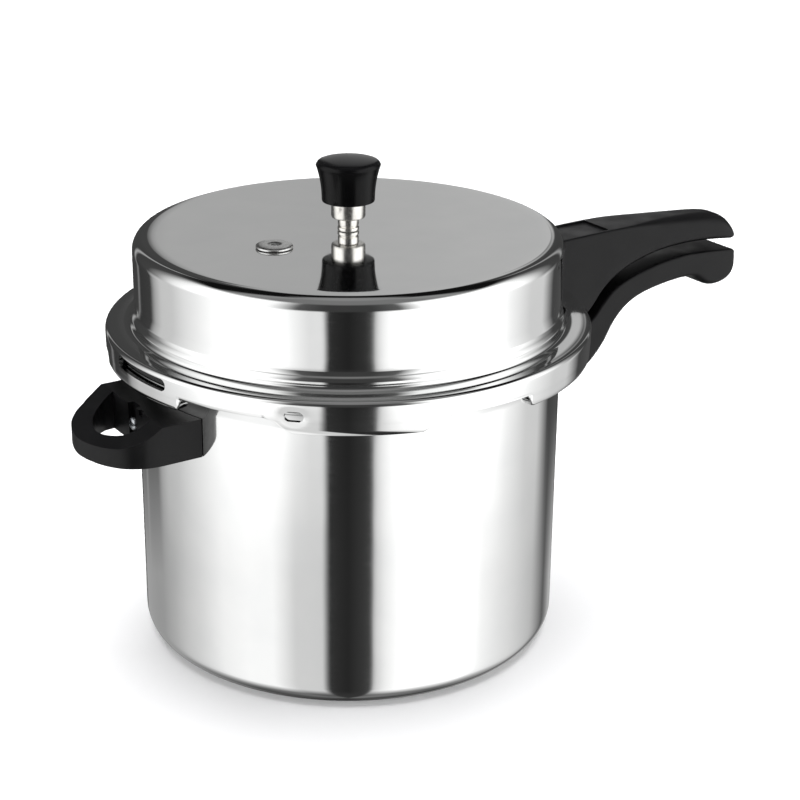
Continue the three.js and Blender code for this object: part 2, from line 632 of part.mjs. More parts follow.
function makeVent() {
  const underside = DOME_TOP - LID_WALL;
  const washerTop = underside - GAP;
  const washerFoot = washerTop - VENT_WASHER.thickness;
  const nutTop = washerFoot - GAP;
  addPiece('vent_tube', revolve([
    [TUBE_BORE, SHANK_FOOT], [VENT_SHANK_RADIUS, SHANK_FOOT], [VENT_SHANK_RADIUS, DOME_TOP + GAP],
    [STEM_RADIUS, DOME_TOP + GAP], [STEM_RADIUS, DOME_TOP + 2.2], [STEM_RADIUS - 0.7, DOME_TOP + 2.8],
    [STEM_RADIUS, DOME_TOP + 3.4], [STEM_RADIUS, STEM_TOP], [TUBE_RADIUS, STEM_TOP],
    [TUBE_RADIUS, TUBE_TOP - 1], [TUBE_RADIUS - 1, TUBE_TOP], [TUBE_BORE, TUBE_TOP],
  ], ROUND_STEPS), chromedBrass());
  const hole = VENT_SHANK_RADIUS + GAP;
  addPiece('vent_tube_washer', washer(hole, VENT_WASHER.radius, washerFoot, washerTop), zincSteel());
  const nut = hexNut(VENT_NUT_ACROSS_CORNERS, hole, nutTop - NUT_HEIGHT, nutTop);
  addPiece('vent_tube_nut', nut, zincSteel());
}

function makeWeight() {
  const boreRadius = TUBE_RADIUS + GAP;
  const boreTop = TUBE_TOP + 0.4;
  const needleTip = TUBE_TOP - 1.8;
  const steps = 24;
  const ringFoot = WEIGHT_FOOT + 3;
  const ringTop = ringFoot + 1.2;
  addPiece('weight_body', revolve([
    [0, needleTip], [TUBE_BORE - 0.4, boreTop], [boreRadius, boreTop],
    [boreRadius, ringTop + GAP], [boreRadius + 1.6, ringTop + GAP],
    [boreRadius + 1.6, ringFoot - GAP], [boreRadius, ringFoot - GAP],
    [boreRadius, WEIGHT_FOOT], [COLLAR_RADIUS - 0.8, WEIGHT_FOOT], [COLLAR_RADIUS, WEIGHT_FOOT + 0.9],
    [COLLAR_RADIUS, COLLAR_TOP], [WEIGHT_SHANK_RADIUS, COLLAR_TOP],
    [WEIGHT_SHANK_RADIUS, WEIGHT_SHANK_TOP], [0, WEIGHT_SHANK_TOP],
  ], steps), chromedBrass());
  const ring = washer(boreRadius + 0.1, boreRadius + 1.3, ringFoot, ringTop);
  addPiece('weight_retaining_ring', ring, zincSteel());
}

// The knob's side flares slowly from its foot, then quickly just under the rim.
const KNOB_FOOT = COLLAR_TOP + GAP;
const KNOB_RIM = DOME_TOP + 38.4;
const KNOB_STEPS = 28;

function makeKnob() {
  const socketRadius = WEIGHT_SHANK_RADIUS + GAP;
  const socketTop = WEIGHT_SHANK_TOP + GAP;
  addPiece('weight_knob', revolve([
    [0, socketTop], [socketRadius, socketTop], [socketRadius, KNOB_FOOT], [14.6, KNOB_FOOT],
    [15.5, KNOB_FOOT + 0.9], [15.3, KNOB_FOOT + 5], [15.9, KNOB_FOOT + 11.5], [16.8, KNOB_FOOT + 16.5],
    [18.2, KNOB_RIM - 1.5], [18.3, KNOB_RIM], [17.4, KNOB_RIM + 1.8], [14.6, KNOB_RIM + 2.8],
    [8, KNOB_RIM + 3.3], [0, KNOB_RIM + 3.5],
  ], KNOB_STEPS), blackPhenolic());
}

// ---- safety valve ----
const VALVE_BORE = 2;
const VALVE_FLANGE_RADIUS = 10.3;
const VALVE_SHANK_FOOT = 228.5;
const VALVE_WASHER = { radius: 9.4, thickness: 1.5 };
const VALVE_NUT_ACROSS_CORNERS = 17.3;
const PLUG_FOOT = DOME_TOP - 5;
const PLUG_TOP = DOME_TOP + 1.2;

function makeSafetyValve() {
  const steps = 28;
  const washerTop = DOME_TOP - LID_WALL - GAP;
  const washerFoot = washerTop - VALVE_WASHER.thickness;
  const nutTop = washerFoot - GAP;
  const seat = DOME_TOP + GAP;
  const hole = VALVE_SHANK_RADIUS + GAP;
  const body = revolve([
    [VALVE_BORE, VALVE_SHANK_FOOT], [VALVE_SHANK_RADIUS, VALVE_SHANK_FOOT], [VALVE_SHANK_RADIUS, seat],
    [VALVE_FLANGE_RADIUS, seat], [VALVE_FLANGE_RADIUS, seat + 1], [VALVE_FLANGE_RADIUS - 0.8, seat + 1.7],
    [4, seat + 1.9], [3.2, seat + 1.1], [VALVE_BORE, seat + 1.1],
  ], steps);
  const plug = rod(VALVE_BORE - GAP, PLUG_FOOT, PLUG_TOP, ROUND_STEPS);
  const seal = washer(hole, VALVE_WASHER.radius, washerFoot, washerTop);
  const nut = hexNut(VALVE_NUT_ACROSS_CORNERS, hole, nutTop - NUT_HEIGHT, nutTop);
  addPiece('safety_valve_body', atValve(body), polishedAluminium());
  addPiece('safety_valve_fusible_plug', atValve(plug), fusibleAlloy());
  addPiece('safety_valve_washer', atValve(seal), blackRubber());
  addPiece('safety_valve_nut', atValve(nut), zincSteel());
}

makePot();
makeBodyHandle();
makeHelperHandle();
makeGasket();
makeLidShell();
makeLidHandle();
makeVent();
makeWeight();
makeKnob();
makeSafetyValve();

export default pressureCooker;
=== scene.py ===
"""Outer-lid pressure cooker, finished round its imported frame.

Lengths inside the building functions are millimetres, because that is how such pans are drawn.
Each finished mesh is scaled to metres. The origin is on the pot's axis, in the plane of its base,
the long handles point along +X and the helper handle along -X.
"""

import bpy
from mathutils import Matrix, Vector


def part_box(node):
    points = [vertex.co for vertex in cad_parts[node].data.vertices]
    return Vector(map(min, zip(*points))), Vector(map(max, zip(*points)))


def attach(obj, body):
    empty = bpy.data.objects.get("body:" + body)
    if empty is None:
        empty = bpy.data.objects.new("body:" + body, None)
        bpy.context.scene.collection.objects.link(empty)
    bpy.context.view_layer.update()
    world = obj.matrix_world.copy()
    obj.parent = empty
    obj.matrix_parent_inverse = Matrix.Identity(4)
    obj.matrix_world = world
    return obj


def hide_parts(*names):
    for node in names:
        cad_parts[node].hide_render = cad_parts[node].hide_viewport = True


bl_info = {
    "name": "Outer-Lid Pressure Cooker",
    "version": (1, 0, 0),
    "blender": (4, 5, 0),
    "location": "View3D > Sidebar > Cooker",
    "description": "Builds the finished pot, lid, handles and weight round the packed frame",
    "category": "Add Mesh",
}

import math

import bmesh
import bpy
from mathutils import Matrix, Vector

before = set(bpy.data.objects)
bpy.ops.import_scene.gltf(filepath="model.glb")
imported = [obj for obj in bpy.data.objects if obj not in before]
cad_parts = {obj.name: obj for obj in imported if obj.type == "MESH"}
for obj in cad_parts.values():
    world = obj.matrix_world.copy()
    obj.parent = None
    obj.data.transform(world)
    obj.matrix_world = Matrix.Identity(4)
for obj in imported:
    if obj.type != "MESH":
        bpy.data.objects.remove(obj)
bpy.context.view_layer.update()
MM = 0.001

POT_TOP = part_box("pot_body")[1].z
LID_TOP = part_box("lid_shell")[1].z
VALVE_LOW, VALVE_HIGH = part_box("safety_valve_body")

# The lid has six lugs, 60 degrees apart: three carry an inward tab and three are plain.
# The edges are in degrees from the middle of the nearest lug that has a tab.
TAB_LUGS = (60, 180, 300)
TAB_LUG_EDGE = 18
PLAIN_LUG_EDGE = 40
# Heights on the skirt: the top of the gaps between lugs, the bend into a tab, a tab's underside.
GAP_FOOT = 177.7
TAB_BEND = 171.7
TAB_FOOT = 170.5
# Only the lid's skirt and flange lie farther out than this.
SKIRT_INSIDE = 130
# Openings through the skirt: middle and half width in degrees, foot and head.
LONG_WINDOW = (183.7, 10.2, 179.0, 186.0)
SHORT_SLOT = (226.4, 2.15, 177.0, 182.5)
# The handles' roots follow the pot's wall and the lid's, with 0.4 mm of air or more.
POT_ROOT = 122.4
LID_ROOT = 126.1
# Where the screws of the two long handles stand.
BODY_SCREW_X = 147
LID_SCREW_X = 157
# A Mix node's colours are its inputs 6 and 7, and its mixed colour is its output 2.
FIRST_COLOUR, SECOND_COLOUR, MIXED_COLOUR = 6, 7, 2



# ---- sizes and finishes that a user would change ----
class CookerSizes(bpy.types.PropertyGroup):
    """Main sizes of the cooker"""

    pot_radius: bpy.props.FloatProperty(
        name="Pot Radius",
        description="Outside radius of the pot's straight wall",
        default=0.122,
        min=0.08,
        max=0.2,
        unit="LENGTH",
    )
    pot_height: bpy.props.FloatProperty(
        name="Pot Height",
        description="Height of the pot's rim above its base",
        default=POT_TOP,
        min=0.08,
        max=0.3,
        unit="LENGTH",
    )
    pot_wall: bpy.props.FloatProperty(
        name="Pot Wall",
        description="Thickness of the pot's wall",
        default=0.0032,
        min=0.001,
        max=0.006,
        unit="LENGTH",
    )
    dome_radius: bpy.props.FloatProperty(
        name="Dome Radius",
        description="Outside radius of the lid's raised middle",
        default=0.1222,
        min=0.08,
        max=0.2,
        unit="LENGTH",
    )
    dome_top: bpy.props.FloatProperty(
        name="Dome Top",
        description="Height of the lid's flat top above the base",
        default=LID_TOP,
        min=0.1,
        max=0.4,
        unit="LENGTH",
    )
    skirt_radius: bpy.props.FloatProperty(
        name="Skirt Radius",
        description="Outside radius of the lid's bayonet skirt",
        default=0.1391,
        min=0.1,
        max=0.25,
        unit="LENGTH",
    )
    lid_sheet: bpy.props.FloatProperty(
        name="Lid Sheet",
        description="Thickness of the lid's pressed sheet",
        default=0.0024,
        min=0.001,
        max=0.005,
        unit="LENGTH",
    )


class CookerFinishes(bpy.types.PropertyGroup):
    """Colours and studio light of the cooker"""

    aluminium: bpy.props.StringProperty(
        name="Aluminium",
        description="Colour of the buffed aluminium, as an sRGB hex value",
        default="#f1f1f0",
    )
    phenolic: bpy.props.StringProperty(
        name="Phenolic",
        description="Colour of the moulded handles, as an sRGB hex value",
        default="#0b0b0c",
    )
    floor: bpy.props.StringProperty(
        name="Floor",
        description="Colour of the studio floor, as an sRGB hex value",
        default="#fbfbfc",
    )
    lamp_strength: bpy.props.FloatProperty(
        name="Lamp Strength",
        description="Strength of the wide overhead lamp",
        default=4.2,
        min=0.0,
        max=20.0,
    )


# ---- shared building functions ----
def linear(text):
    """An sRGB hex colour as the linear colour that nodes take."""
    parts = [int(text[i : i + 2], 16) / 255 for i in (1, 3, 5)]
    return [p / 12.92 if p <= 0.04045 else ((p + 0.055) / 1.055) ** 2.4 for p in parts] + [1.0]


def add_node(tree, kind, inputs=None, **settings):
    """Adds a node. Each input is a value, or another node's output to link from."""
    new = tree.nodes.new(kind)
    for key, value in settings.items():
        setattr(new, key, value)
    for key, value in (inputs or {}).items():
        if isinstance(value, bpy.types.NodeSocket):
            tree.links.new(value, new.inputs[key])
        else:
            new.inputs[key].default_value = value
    return new


def arc(centre_radius, centre_height, radius, start, end, steps):
    """Points on an arc of a turned outline, with angles in degrees."""
    angles = [math.radians(start + (end - start) * i / steps) for i in range(steps + 1)]
    return [
        (centre_radius + radius * math.cos(a), centre_height + radius * math.sin(a)) for a in angles
    ]


def smooth_row(rows, parts):
    """Fills in a list of equal-length rows of numbers along a smooth curve."""
    padded = [rows[0], *rows, rows[-1]]
    filled = []
    for i in range(len(rows) - 1):
        for k in range(parts):
            t = k / parts
            row = []
            for a, b, c, d in zip(*padded[i : i + 4]):
                bend = 2 * a - 5 * b + 4 * c - d + t * (3 * (b - c) + d - a)
                row.append(b + t * (c - a + t * bend) / 2)
            filled.append(row)
    filled.append(list(rows[-1]))
    return filled


def turn(bm, outline, steps=128, angle=math.tau, start=0.0):
    """Turns an outline of (radius, height) about Z. One that starts off the axis is closed."""
    place = Matrix.Rotation(start, 4, "Z")
    points = [bm.verts.new(place @ Vector((r, 0, z))) for r, z in outline]
    edges = [bm.edges.new(pair) for pair in zip(points, points[1:])]
    if outline[0][0] > 0:
        edges.append(bm.edges.new((points[-1], points[0])))
    geometry = points + edges
    if angle < math.tau:
        geometry.append(bm.faces.new(points))
    bmesh.ops.spin(
        bm,
        geom=geometry,
        cent=(0, 0, 0),
        axis=(0, 0, 1),
        angle=angle,
        steps=steps,
        use_merge=angle >= math.tau,
    )


def take_in(bm, other):
    """Adds another mesh to this one, and frees it."""
    spare = bpy.data.meshes.new("spare")
    other.to_mesh(spare)
    other.free()
    bm.from_mesh(spare)
    bpy.data.meshes.remove(spare)


def finish_piece(bm, name, material, body, nodes, sharp=35, open_sheet=False):
    """Makes a mesh drawn in millimetres a finished piece that rides on its body."""
    bmesh.ops.remove_doubles(bm, verts=bm.verts, dist=0.002)
    bmesh.ops.recalc_face_normals(bm, faces=bm.faces)
    if open_sheet:
        highest = max(bm.faces, key=lambda f: f.calc_center_median().z)
        if highest.normal.z < 0:
            bmesh.ops.reverse_faces(bm, faces=bm.faces)
    bmesh.ops.scale(bm, vec=(MM, MM, MM), verts=bm.verts)
    mesh = bpy.data.meshes.new(name)
    bm.to_mesh(mesh)
    bm.free()
    mesh.shade_smooth()
    mesh.set_sharp_from_angle(angle=math.radians(sharp))
    mesh.materials.append(material)
    piece = bpy.data.objects.new(name, mesh)
    bpy.context.scene.collection.objects.link(piece)
    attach(piece, body)
    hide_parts(*nodes)
    return piece


def apply_modifiers(piece):
    """Replaces a piece's mesh with what its modifiers make of it."""
    graph = bpy.context.evaluated_depsgraph_get()
    graph.update()
    shaped = bpy.data.meshes.new_from_object(piece.evaluated_get(graph))
    piece.modifiers.clear()
    piece.data = shaped


def carve(piece, cutters, sharp=35, folded=False):
    """Cuts meshes drawn in millimetres out of a piece, which may be a sheet folded tightly."""
    for bm in cutters:
        bmesh.ops.recalc_face_normals(bm, faces=bm.faces)
        bmesh.ops.scale(bm, vec=(MM, MM, MM), verts=bm.verts)
        mesh = bpy.data.meshes.new("cutter")
        bm.to_mesh(mesh)
        bm.free()
        tool = bpy.data.objects.new("cutter", mesh)
        bpy.context.scene.collection.objects.link(tool)
        cut = piece.modifiers.new("cut", "BOOLEAN")
        cut.operation = "DIFFERENCE"
        cut.solver = "EXACT"
        cut.use_self = folded
        cut.object = tool
        apply_modifiers(piece)
        bpy.data.objects.remove(tool)
    piece.data.shade_smooth()
    piece.data.set_sharp_from_angle(angle=math.radians(sharp))


def soften(piece, width, segments=3, angle=40):
    """Rounds a piece's sharp edges."""
    bevel = piece.modifiers.new("soft_edges", "BEVEL")
    bevel.width = width * MM
    bevel.segments = segments
    bevel.limit_method = "ANGLE"
    bevel.angle_limit = math.radians(angle)
    bevel.harden_normals = True


def box_tool(low, high, corner=0.0, axis=2, segments=2):
    """A block between two corners, its edges along one axis rounded."""
    bm = bmesh.new()
    bmesh.ops.create_cube(bm, size=1.0)
    size = Vector(high) - Vector(low)
    bmesh.ops.scale(bm, vec=size, verts=bm.verts)
    bmesh.ops.translate(bm, vec=(Vector(low) + Vector(high)) / 2, verts=bm.verts)
    if corner:
        along = [
            e for e in bm.edges if abs((e.verts[0].co - e.verts[1].co).normalized()[axis]) > 0.9
        ]
        bmesh.ops.bevel(
            bm,
            geom=along,
            offset=corner,
            affect="EDGES",
            segments=segments,
            profile=0.5,
            material=-1,
            clamp_overlap=True,
        )
    return bm


def screw_bore(x, radius, foot, top):
    """A round bar along Z that cuts a screw's hole into a handle."""
    bm = bmesh.new()
    turn(bm, [(0, foot), (radius, foot), (radius, top), (0, top)], 48)
    bmesh.ops.remove_doubles(bm, verts=bm.verts, dist=0.002)
    bmesh.ops.translate(bm, vec=(x, 0, 0), verts=bm.verts)
    return bm


# ---- materials ----
def new_material(name):
    """A material, its node tree, its shader, and where a point is on its piece in metres."""
    material = bpy.data.materials.new(name)
    material.use_nodes = True
    tree = material.node_tree
    place = add_node(tree, "ShaderNodeTexCoord").outputs["Object"]
    return material, tree, tree.nodes["Principled BSDF"], place


def ring_coordinates(tree, place):
    """How far along a turned outline, and how far round the axis in radians, a point is."""
    parts = add_node(tree, "ShaderNodeSeparateXYZ", {0: place}).outputs
    flat = add_node(tree, "ShaderNodeCombineXYZ", {0: parts[0], 1: parts[1]})
    radius = add_node(tree, "ShaderNodeVectorMath", {0: flat.outputs[0]}, operation="LENGTH")
    along = add_node(
        tree, "ShaderNodeMath", {0: radius.outputs["Value"], 1: parts[2]}, operation="ADD"
    )
    turned = add_node(tree, "ShaderNodeMath", {0: parts[1], 1: parts[0]}, operation="ARCTAN2")
    return along.outputs[0], turned.outputs[0]


def roughen(tree, shader, pattern, low, high, least, most):
    """Lets a pattern's values from low to high take the roughness from least to most."""
    levels = {"Value": pattern, "From Min": low, "From Max": high, "To Min": least, "To Max": most}
    rough = add_node(tree, "ShaderNodeMapRange", levels)
    tree.links.new(rough.outputs[0], shader.inputs["Roughness"])


def colour_and_grain(tree, shader, pattern, colour, second, grain, strength, depth):
    """Lets a pattern mix two colours, and raises a grain of a given depth in metres."""
    colours = {FIRST_COLOUR: linear(colour), SECOND_COLOUR: linear(second)}
    tint = add_node(tree, "ShaderNodeMix", {"Factor": pattern, **colours}, data_type="RGBA")
    tree.links.new(tint.outputs[MIXED_COLOUR], shader.inputs["Base Color"])
    relief = {"Height": grain, "Strength": strength, "Distance": depth}
    bump = add_node(tree, "ShaderNodeBump", relief)
    tree.links.new(bump.outputs[0], shader.inputs["Normal"])
    return bump


def buffed_aluminium(name, colour, roughness, haze):
    """Deep-drawn aluminium sheet, buffed to a mirror.

    It gives hard reflections that waver a little with the drawn wall, with faint rings
    where the buffing wheel ran round the axis and a haze of fine wipe marks.
    """
    material, tree, shader, place = new_material(name)
    along, turned = ring_coordinates(tree, place)
    # Buffing rings are about 0.5 mm apart and run 15 mm or so round the wall.
    runs_per_radian, rings_per_metre = 8.0, 2000.0
    ring_place = add_node(
        tree,
        "ShaderNodeCombineXYZ",
        {
            i: add_node(tree, "ShaderNodeMath", {0: way, 1: rate}, operation="MULTIPLY").outputs[0]
            for i, (way, rate) in enumerate(((turned, runs_per_radian), (along, rings_per_metre)))
        },
    )
    rings = add_node(
        tree, "ShaderNodeTexNoise", {"Vector": ring_place.outputs[0], "Scale": 1.0, "Detail": 2.0}
    ).outputs["Fac"]
    # Haze from wiping lies in soft patches 30 mm across.
    patches = add_node(
        tree, "ShaderNodeTexNoise", {"Vector": place, "Scale": 33.0, "Detail": 3.0}
    ).outputs["Fac"]
    mixed = add_node(tree, "ShaderNodeMath", {0: rings, 1: patches}, operation="MULTIPLY")
    roughen(tree, shader, mixed.outputs[0], 0.12, 0.42, roughness, roughness + haze)
    # Buffing compound left in the grain dulls the metal by a few per cent.
    bump = colour_and_grain(tree, shader, patches, colour, "#e6e7e7", rings, 0.25, 0.000004)
    # The drawn wall wavers over about 40 mm by a few hundredths of a millimetre.
    waves = add_node(tree, "ShaderNodeTexNoise", {"Vector": place, "Scale": 24.0, "Detail": 1.0})
    relief = {"Height": waves.outputs["Fac"], "Strength": 1.0, "Distance": 0.00008}
    wave_bump = add_node(tree, "ShaderNodeBump", relief)
    tree.links.new(wave_bump.outputs[0], bump.inputs["Normal"])
    shader.inputs["Metallic"].default_value = 1.0
    return material


def moulded_phenolic(name, colour, roughness, spread, gloss):
    """Compression-moulded phenolic resin.

    It gives a deep black with a soft sheen, a fine orange peel from the steel mould
    and slightly duller flow marks where the powder knitted together.
    """
    material, tree, shader, place = new_material(name)
    # Flow marks are 15 mm or so long.
    flow = add_node(tree, "ShaderNodeTexNoise", {"Vector": place, "Scale": 65.0, "Detail": 4.0})
    # Mould texture is about 0.4 mm.
    peel = add_node(tree, "ShaderNodeTexNoise", {"Vector": place, "Scale": 2400.0, "Detail": 2.0})
    marks = flow.outputs["Fac"]
    roughen(tree, shader, marks, 0.35, 0.65, roughness, roughness + spread)
    colour_and_grain(
        tree, shader, marks, colour, "#121213", peel.outputs["Fac"], 0.3, 0.00003
    )
    shader.inputs["Specular IOR Level"].default_value = gloss
    return material


def plain_metal(name, colour, second, roughness, grain):
    """A small metal fitting: its grain, counted per metre, varies the roughness and the tone."""
    material, tree, shader, place = new_material(name)
    noise = add_node(
        tree, "ShaderNodeTexNoise", {"Vector": place, "Scale": grain, "Detail": 3.0}
    ).outputs["Fac"]
    roughen(tree, shader, noise, 0.3, 0.7, roughness * 0.8, roughness * 1.4)
    colour_and_grain(tree, shader, noise, colour, second, noise, 0.2, 0.00001)
    shader.inputs["Metallic"].default_value = 1.0
    return material


def pressed_rubber(name):
    """Black nitrile rubber, pressed in a ground mould: a dull black with a faint bloom."""
    material, tree, shader, place = new_material(name)
    bloom = add_node(tree, "ShaderNodeTexNoise", {"Vector": place, "Scale": 120.0, "Detail": 4.0})
    grain = add_node(tree, "ShaderNodeTexNoise", {"Vector": place, "Scale": 1800.0, "Detail": 2.0})
    colour_and_grain(
        tree, shader, bloom.outputs["Fac"], "#1b1c1c", "#2c2c2b", grain.outputs["Fac"], 0.4, 0.00005
    )
    shader.inputs["Roughness"].default_value = 0.68
    return material


def finish_named(name, context):
    """The cooker's material of that name, made the first time it is asked for."""
    if name in bpy.data.materials:
        return bpy.data.materials[name]
    finishes = context.scene.cooker_finishes
    if name == "buffed_aluminium":
        return buffed_aluminium(name, finishes.aluminium, 0.035, 0.06)
    if name == "satin_moulded_phenolic":
        return moulded_phenolic(name, finishes.phenolic, 0.3, 0.12, 0.2)
    if name == "glossy_moulded_phenolic":
        # The knob's mould is polished, which gives a wetter and deeper black.
        return moulded_phenolic(name, "#060607", 0.12, 0.08, 0.15)
    if name == "plated_turned_brass":
        # Chromium over nickel on turned brass: a bright, faintly warm mirror.
        return plain_metal(name, "#fbf9f5", "#f1eee8", 0.2, 500.0)
    if name == "satin_turned_aluminium":
        # Turned aluminium left as machined: fine cutter marks scatter the light.
        return plain_metal(name, "#eeeeec", "#dededd", 0.3, 900.0)
    if name == "zinc_plated_steel":
        # Bright zinc passivate over rolled steel: greyish, with a crystalline bloom.
        return plain_metal(name, "#c6c9cc", "#a9adb1", 0.26, 700.0)
    if name == "cast_fusible_alloy":
        # Low-melting bismuth and tin alloy, cast in place: a soft pale grey, lightly pitted.
        return plain_metal(name, "#dddddc", "#b9babb", 0.34, 900.0)
    if name == "pressed_nitrile_rubber":
        return pressed_rubber(name)
    raise ValueError(f"there is no finish named {name}")


# ---- the pot ----
class COOKER_OT_pot(bpy.types.Operator):
    """Turn the deep pot with its rolled rim and three rim lugs"""

    bl_idname = "cooker.pot"
    bl_label = "Pot"

    def execute(self, context):
        sizes = context.scene.cooker_sizes
        wall = sizes.pot_radius / MM
        rim = sizes.pot_height / MM
        inner = wall - sizes.pot_wall / MM
        outline = [(0, 0), (60, 0), (104, 0)]
        outline += arc(wall - 12.2, 12.2, 12.2, -90, 0, 12)
        outline += [(wall, 16), (wall, 60), (wall, 120), (wall, 165), (wall, rim - 6.2)]
        outline += [(wall + 0.5, rim - 5.2), (wall + 1.6, rim - 4.7), (wall + 6.6, rim - 3.7)]
        outline += [(wall + 7.6, rim - 3.1), (wall + 8, rim - 2.2), (wall + 8, rim - 0.7)]
        outline += [(wall + 7.7, rim - 0.2), (wall + 7.2, rim), (inner + 1.2, rim)]
        outline += [(inner + 0.4, rim - 0.3)]
        outline += [(inner, height) for height in (rim - 1, 165, 60, 17)]
        outline += arc(inner - 9, 13, 9, 0, -90, 10)
        outline += [(60, 4), (0, 4)]
        bm = bmesh.new()
        turn(bm, outline, 256)
        for centre in TAB_LUGS:
            lug = [(wall + 6, rim - 5.5), (wall + 12.9, rim - 5.5), (wall + 13.3, rim - 5.1)]
            lug += [(wall + 13.3, rim - 0.4), (wall + 12.9, rim - 0.02), (wall + 6, rim - 0.02)]
            width = 26
            turn(bm, lug, width, math.radians(width), math.radians(centre - width / 2))
        metal = finish_named("buffed_aluminium", context)
        finish_piece(bm, "pot_drawn_shell", metal, "pot", ["pot_body"])
        return {"FINISHED"}


# ---- the lid ----
def lug_turn(angle):
    """Degrees from the middle of the nearest lug with a tab."""
    return min(abs((angle - centre + 180) % 360 - 180) for centre in TAB_LUGS)


def lug_place(place):
    """Degrees from the middle of the nearest lug with a tab, and the run of a plain lug's edge.

    That edge runs away from the tab in an S as it goes down, by 0 to 6 degrees.
    """
    away = lug_turn(math.degrees(math.atan2(place.y, place.x)))
    swing = 2 * min((GAP_FOOT - place.z) / (GAP_FOOT - TAB_BEND), 1) - 1
    return away, 3 + 1.2 * swing + 1.8 * swing**3


def is_above_gaps(place):
    """Whether a point is clear of the part of the skirt that the lugs are cut from."""
    return place.z > GAP_FOOT - 0.05 or place.xy.length < SKIRT_INSIDE


def shape_skirt(bm):
    """Cuts the skirt back between lugs, slopes the plain lugs and keeps the tabs on the others."""
    # Points next to a plain lug's edge are swung onto it, and those behind them less and less.
    swing_end = 52
    for vert in bm.verts:
        away, run = lug_place(vert.co)
        if is_above_gaps(vert.co) or away <= PLAIN_LUG_EDGE - 0.5:
            continue
        turned = math.degrees(math.atan2(vert.co.y, vert.co.x))
        shift = run * max(0, swing_end - away) / (swing_end - PLAIN_LUG_EDGE)
        side = 1 if lug_turn(turned + 0.1) > away else -1
        swung = Matrix.Rotation(math.radians(side * shift), 3, "Z")
        bmesh.ops.rotate(bm, cent=(0, 0, 0), matrix=swung, verts=[vert])
    unwanted = []
    for face in bm.faces:
        middle = face.calc_center_median()
        if middle.z > GAP_FOOT or middle.xy.length < SKIRT_INSIDE:
            continue
        away, run = lug_place(middle)
        is_tab = middle.z < TAB_BEND - 0.05
        if TAB_LUG_EDGE < away < PLAIN_LUG_EDGE + run or (is_tab and away > TAB_LUG_EDGE):
            unwanted.append(face)
    bmesh.ops.delete(bm, geom=unwanted, context="FACES")
    # Plain lugs end level with the tabs, and the lower corners of the others are rounded.
    corner = 4.0
    lug_radius = 139
    reach = math.radians(TAB_LUG_EDGE) * lug_radius
    for vert in bm.verts:
        away = lug_place(vert.co)[0]
        if vert.co.z < TAB_BEND + 0.05 and away > TAB_LUG_EDGE + 1:
            vert.co.z = TAB_FOOT
        past = min(math.radians(away) * lug_radius - (reach - corner), corner)
        if past > 0 and away < TAB_LUG_EDGE + 1 and not is_above_gaps(vert.co):
            lift = corner - math.sqrt(corner**2 - past**2)
            share = 1 - lift / (GAP_FOOT - TAB_FOOT)
            vert.co.z = GAP_FOOT - (GAP_FOOT - vert.co.z) * share


def press_in_slot(bm, skirt):
    """Dips the metal round the short slot, where a press tool pushed it in."""
    middle, height = math.radians(SHORT_SLOT[0]), 179.8
    half_width, half_height, depth = 9.5, 6.0, 0.55
    for vert in bm.verts:
        if vert.co.z < 189 and vert.co.xy.length > SKIRT_INSIDE:
            across = (math.atan2(vert.co.y, vert.co.x) - middle + math.pi) % math.tau - math.pi
            off = Vector((across * skirt / half_width, (vert.co.z - height) / half_height)).length
            if off < 1:
                vert.co.xy *= 1 - depth * (1 - off**2) ** 2 / skirt


def window_tool(skirt):
    """The two openings through the skirt, each a round-ended block bent to follow it."""
    windows = bmesh.new()
    for middle, half, foot, head in (LONG_WINDOW, SHORT_SLOT):
        reach = math.radians(half) * skirt
        end = (head - foot) / 2 - 0.02
        pill = box_tool((skirt - 8, -reach, foot), (skirt + 4, reach, head), end, 0, 8)
        for vert in pill.verts:
            across = math.radians(middle) + vert.co.y / skirt
            x, z = vert.co.x, vert.co.z
            vert.co = Vector((x * math.cos(across), x * math.sin(across), z))
        take_in(windows, pill)
    return windows


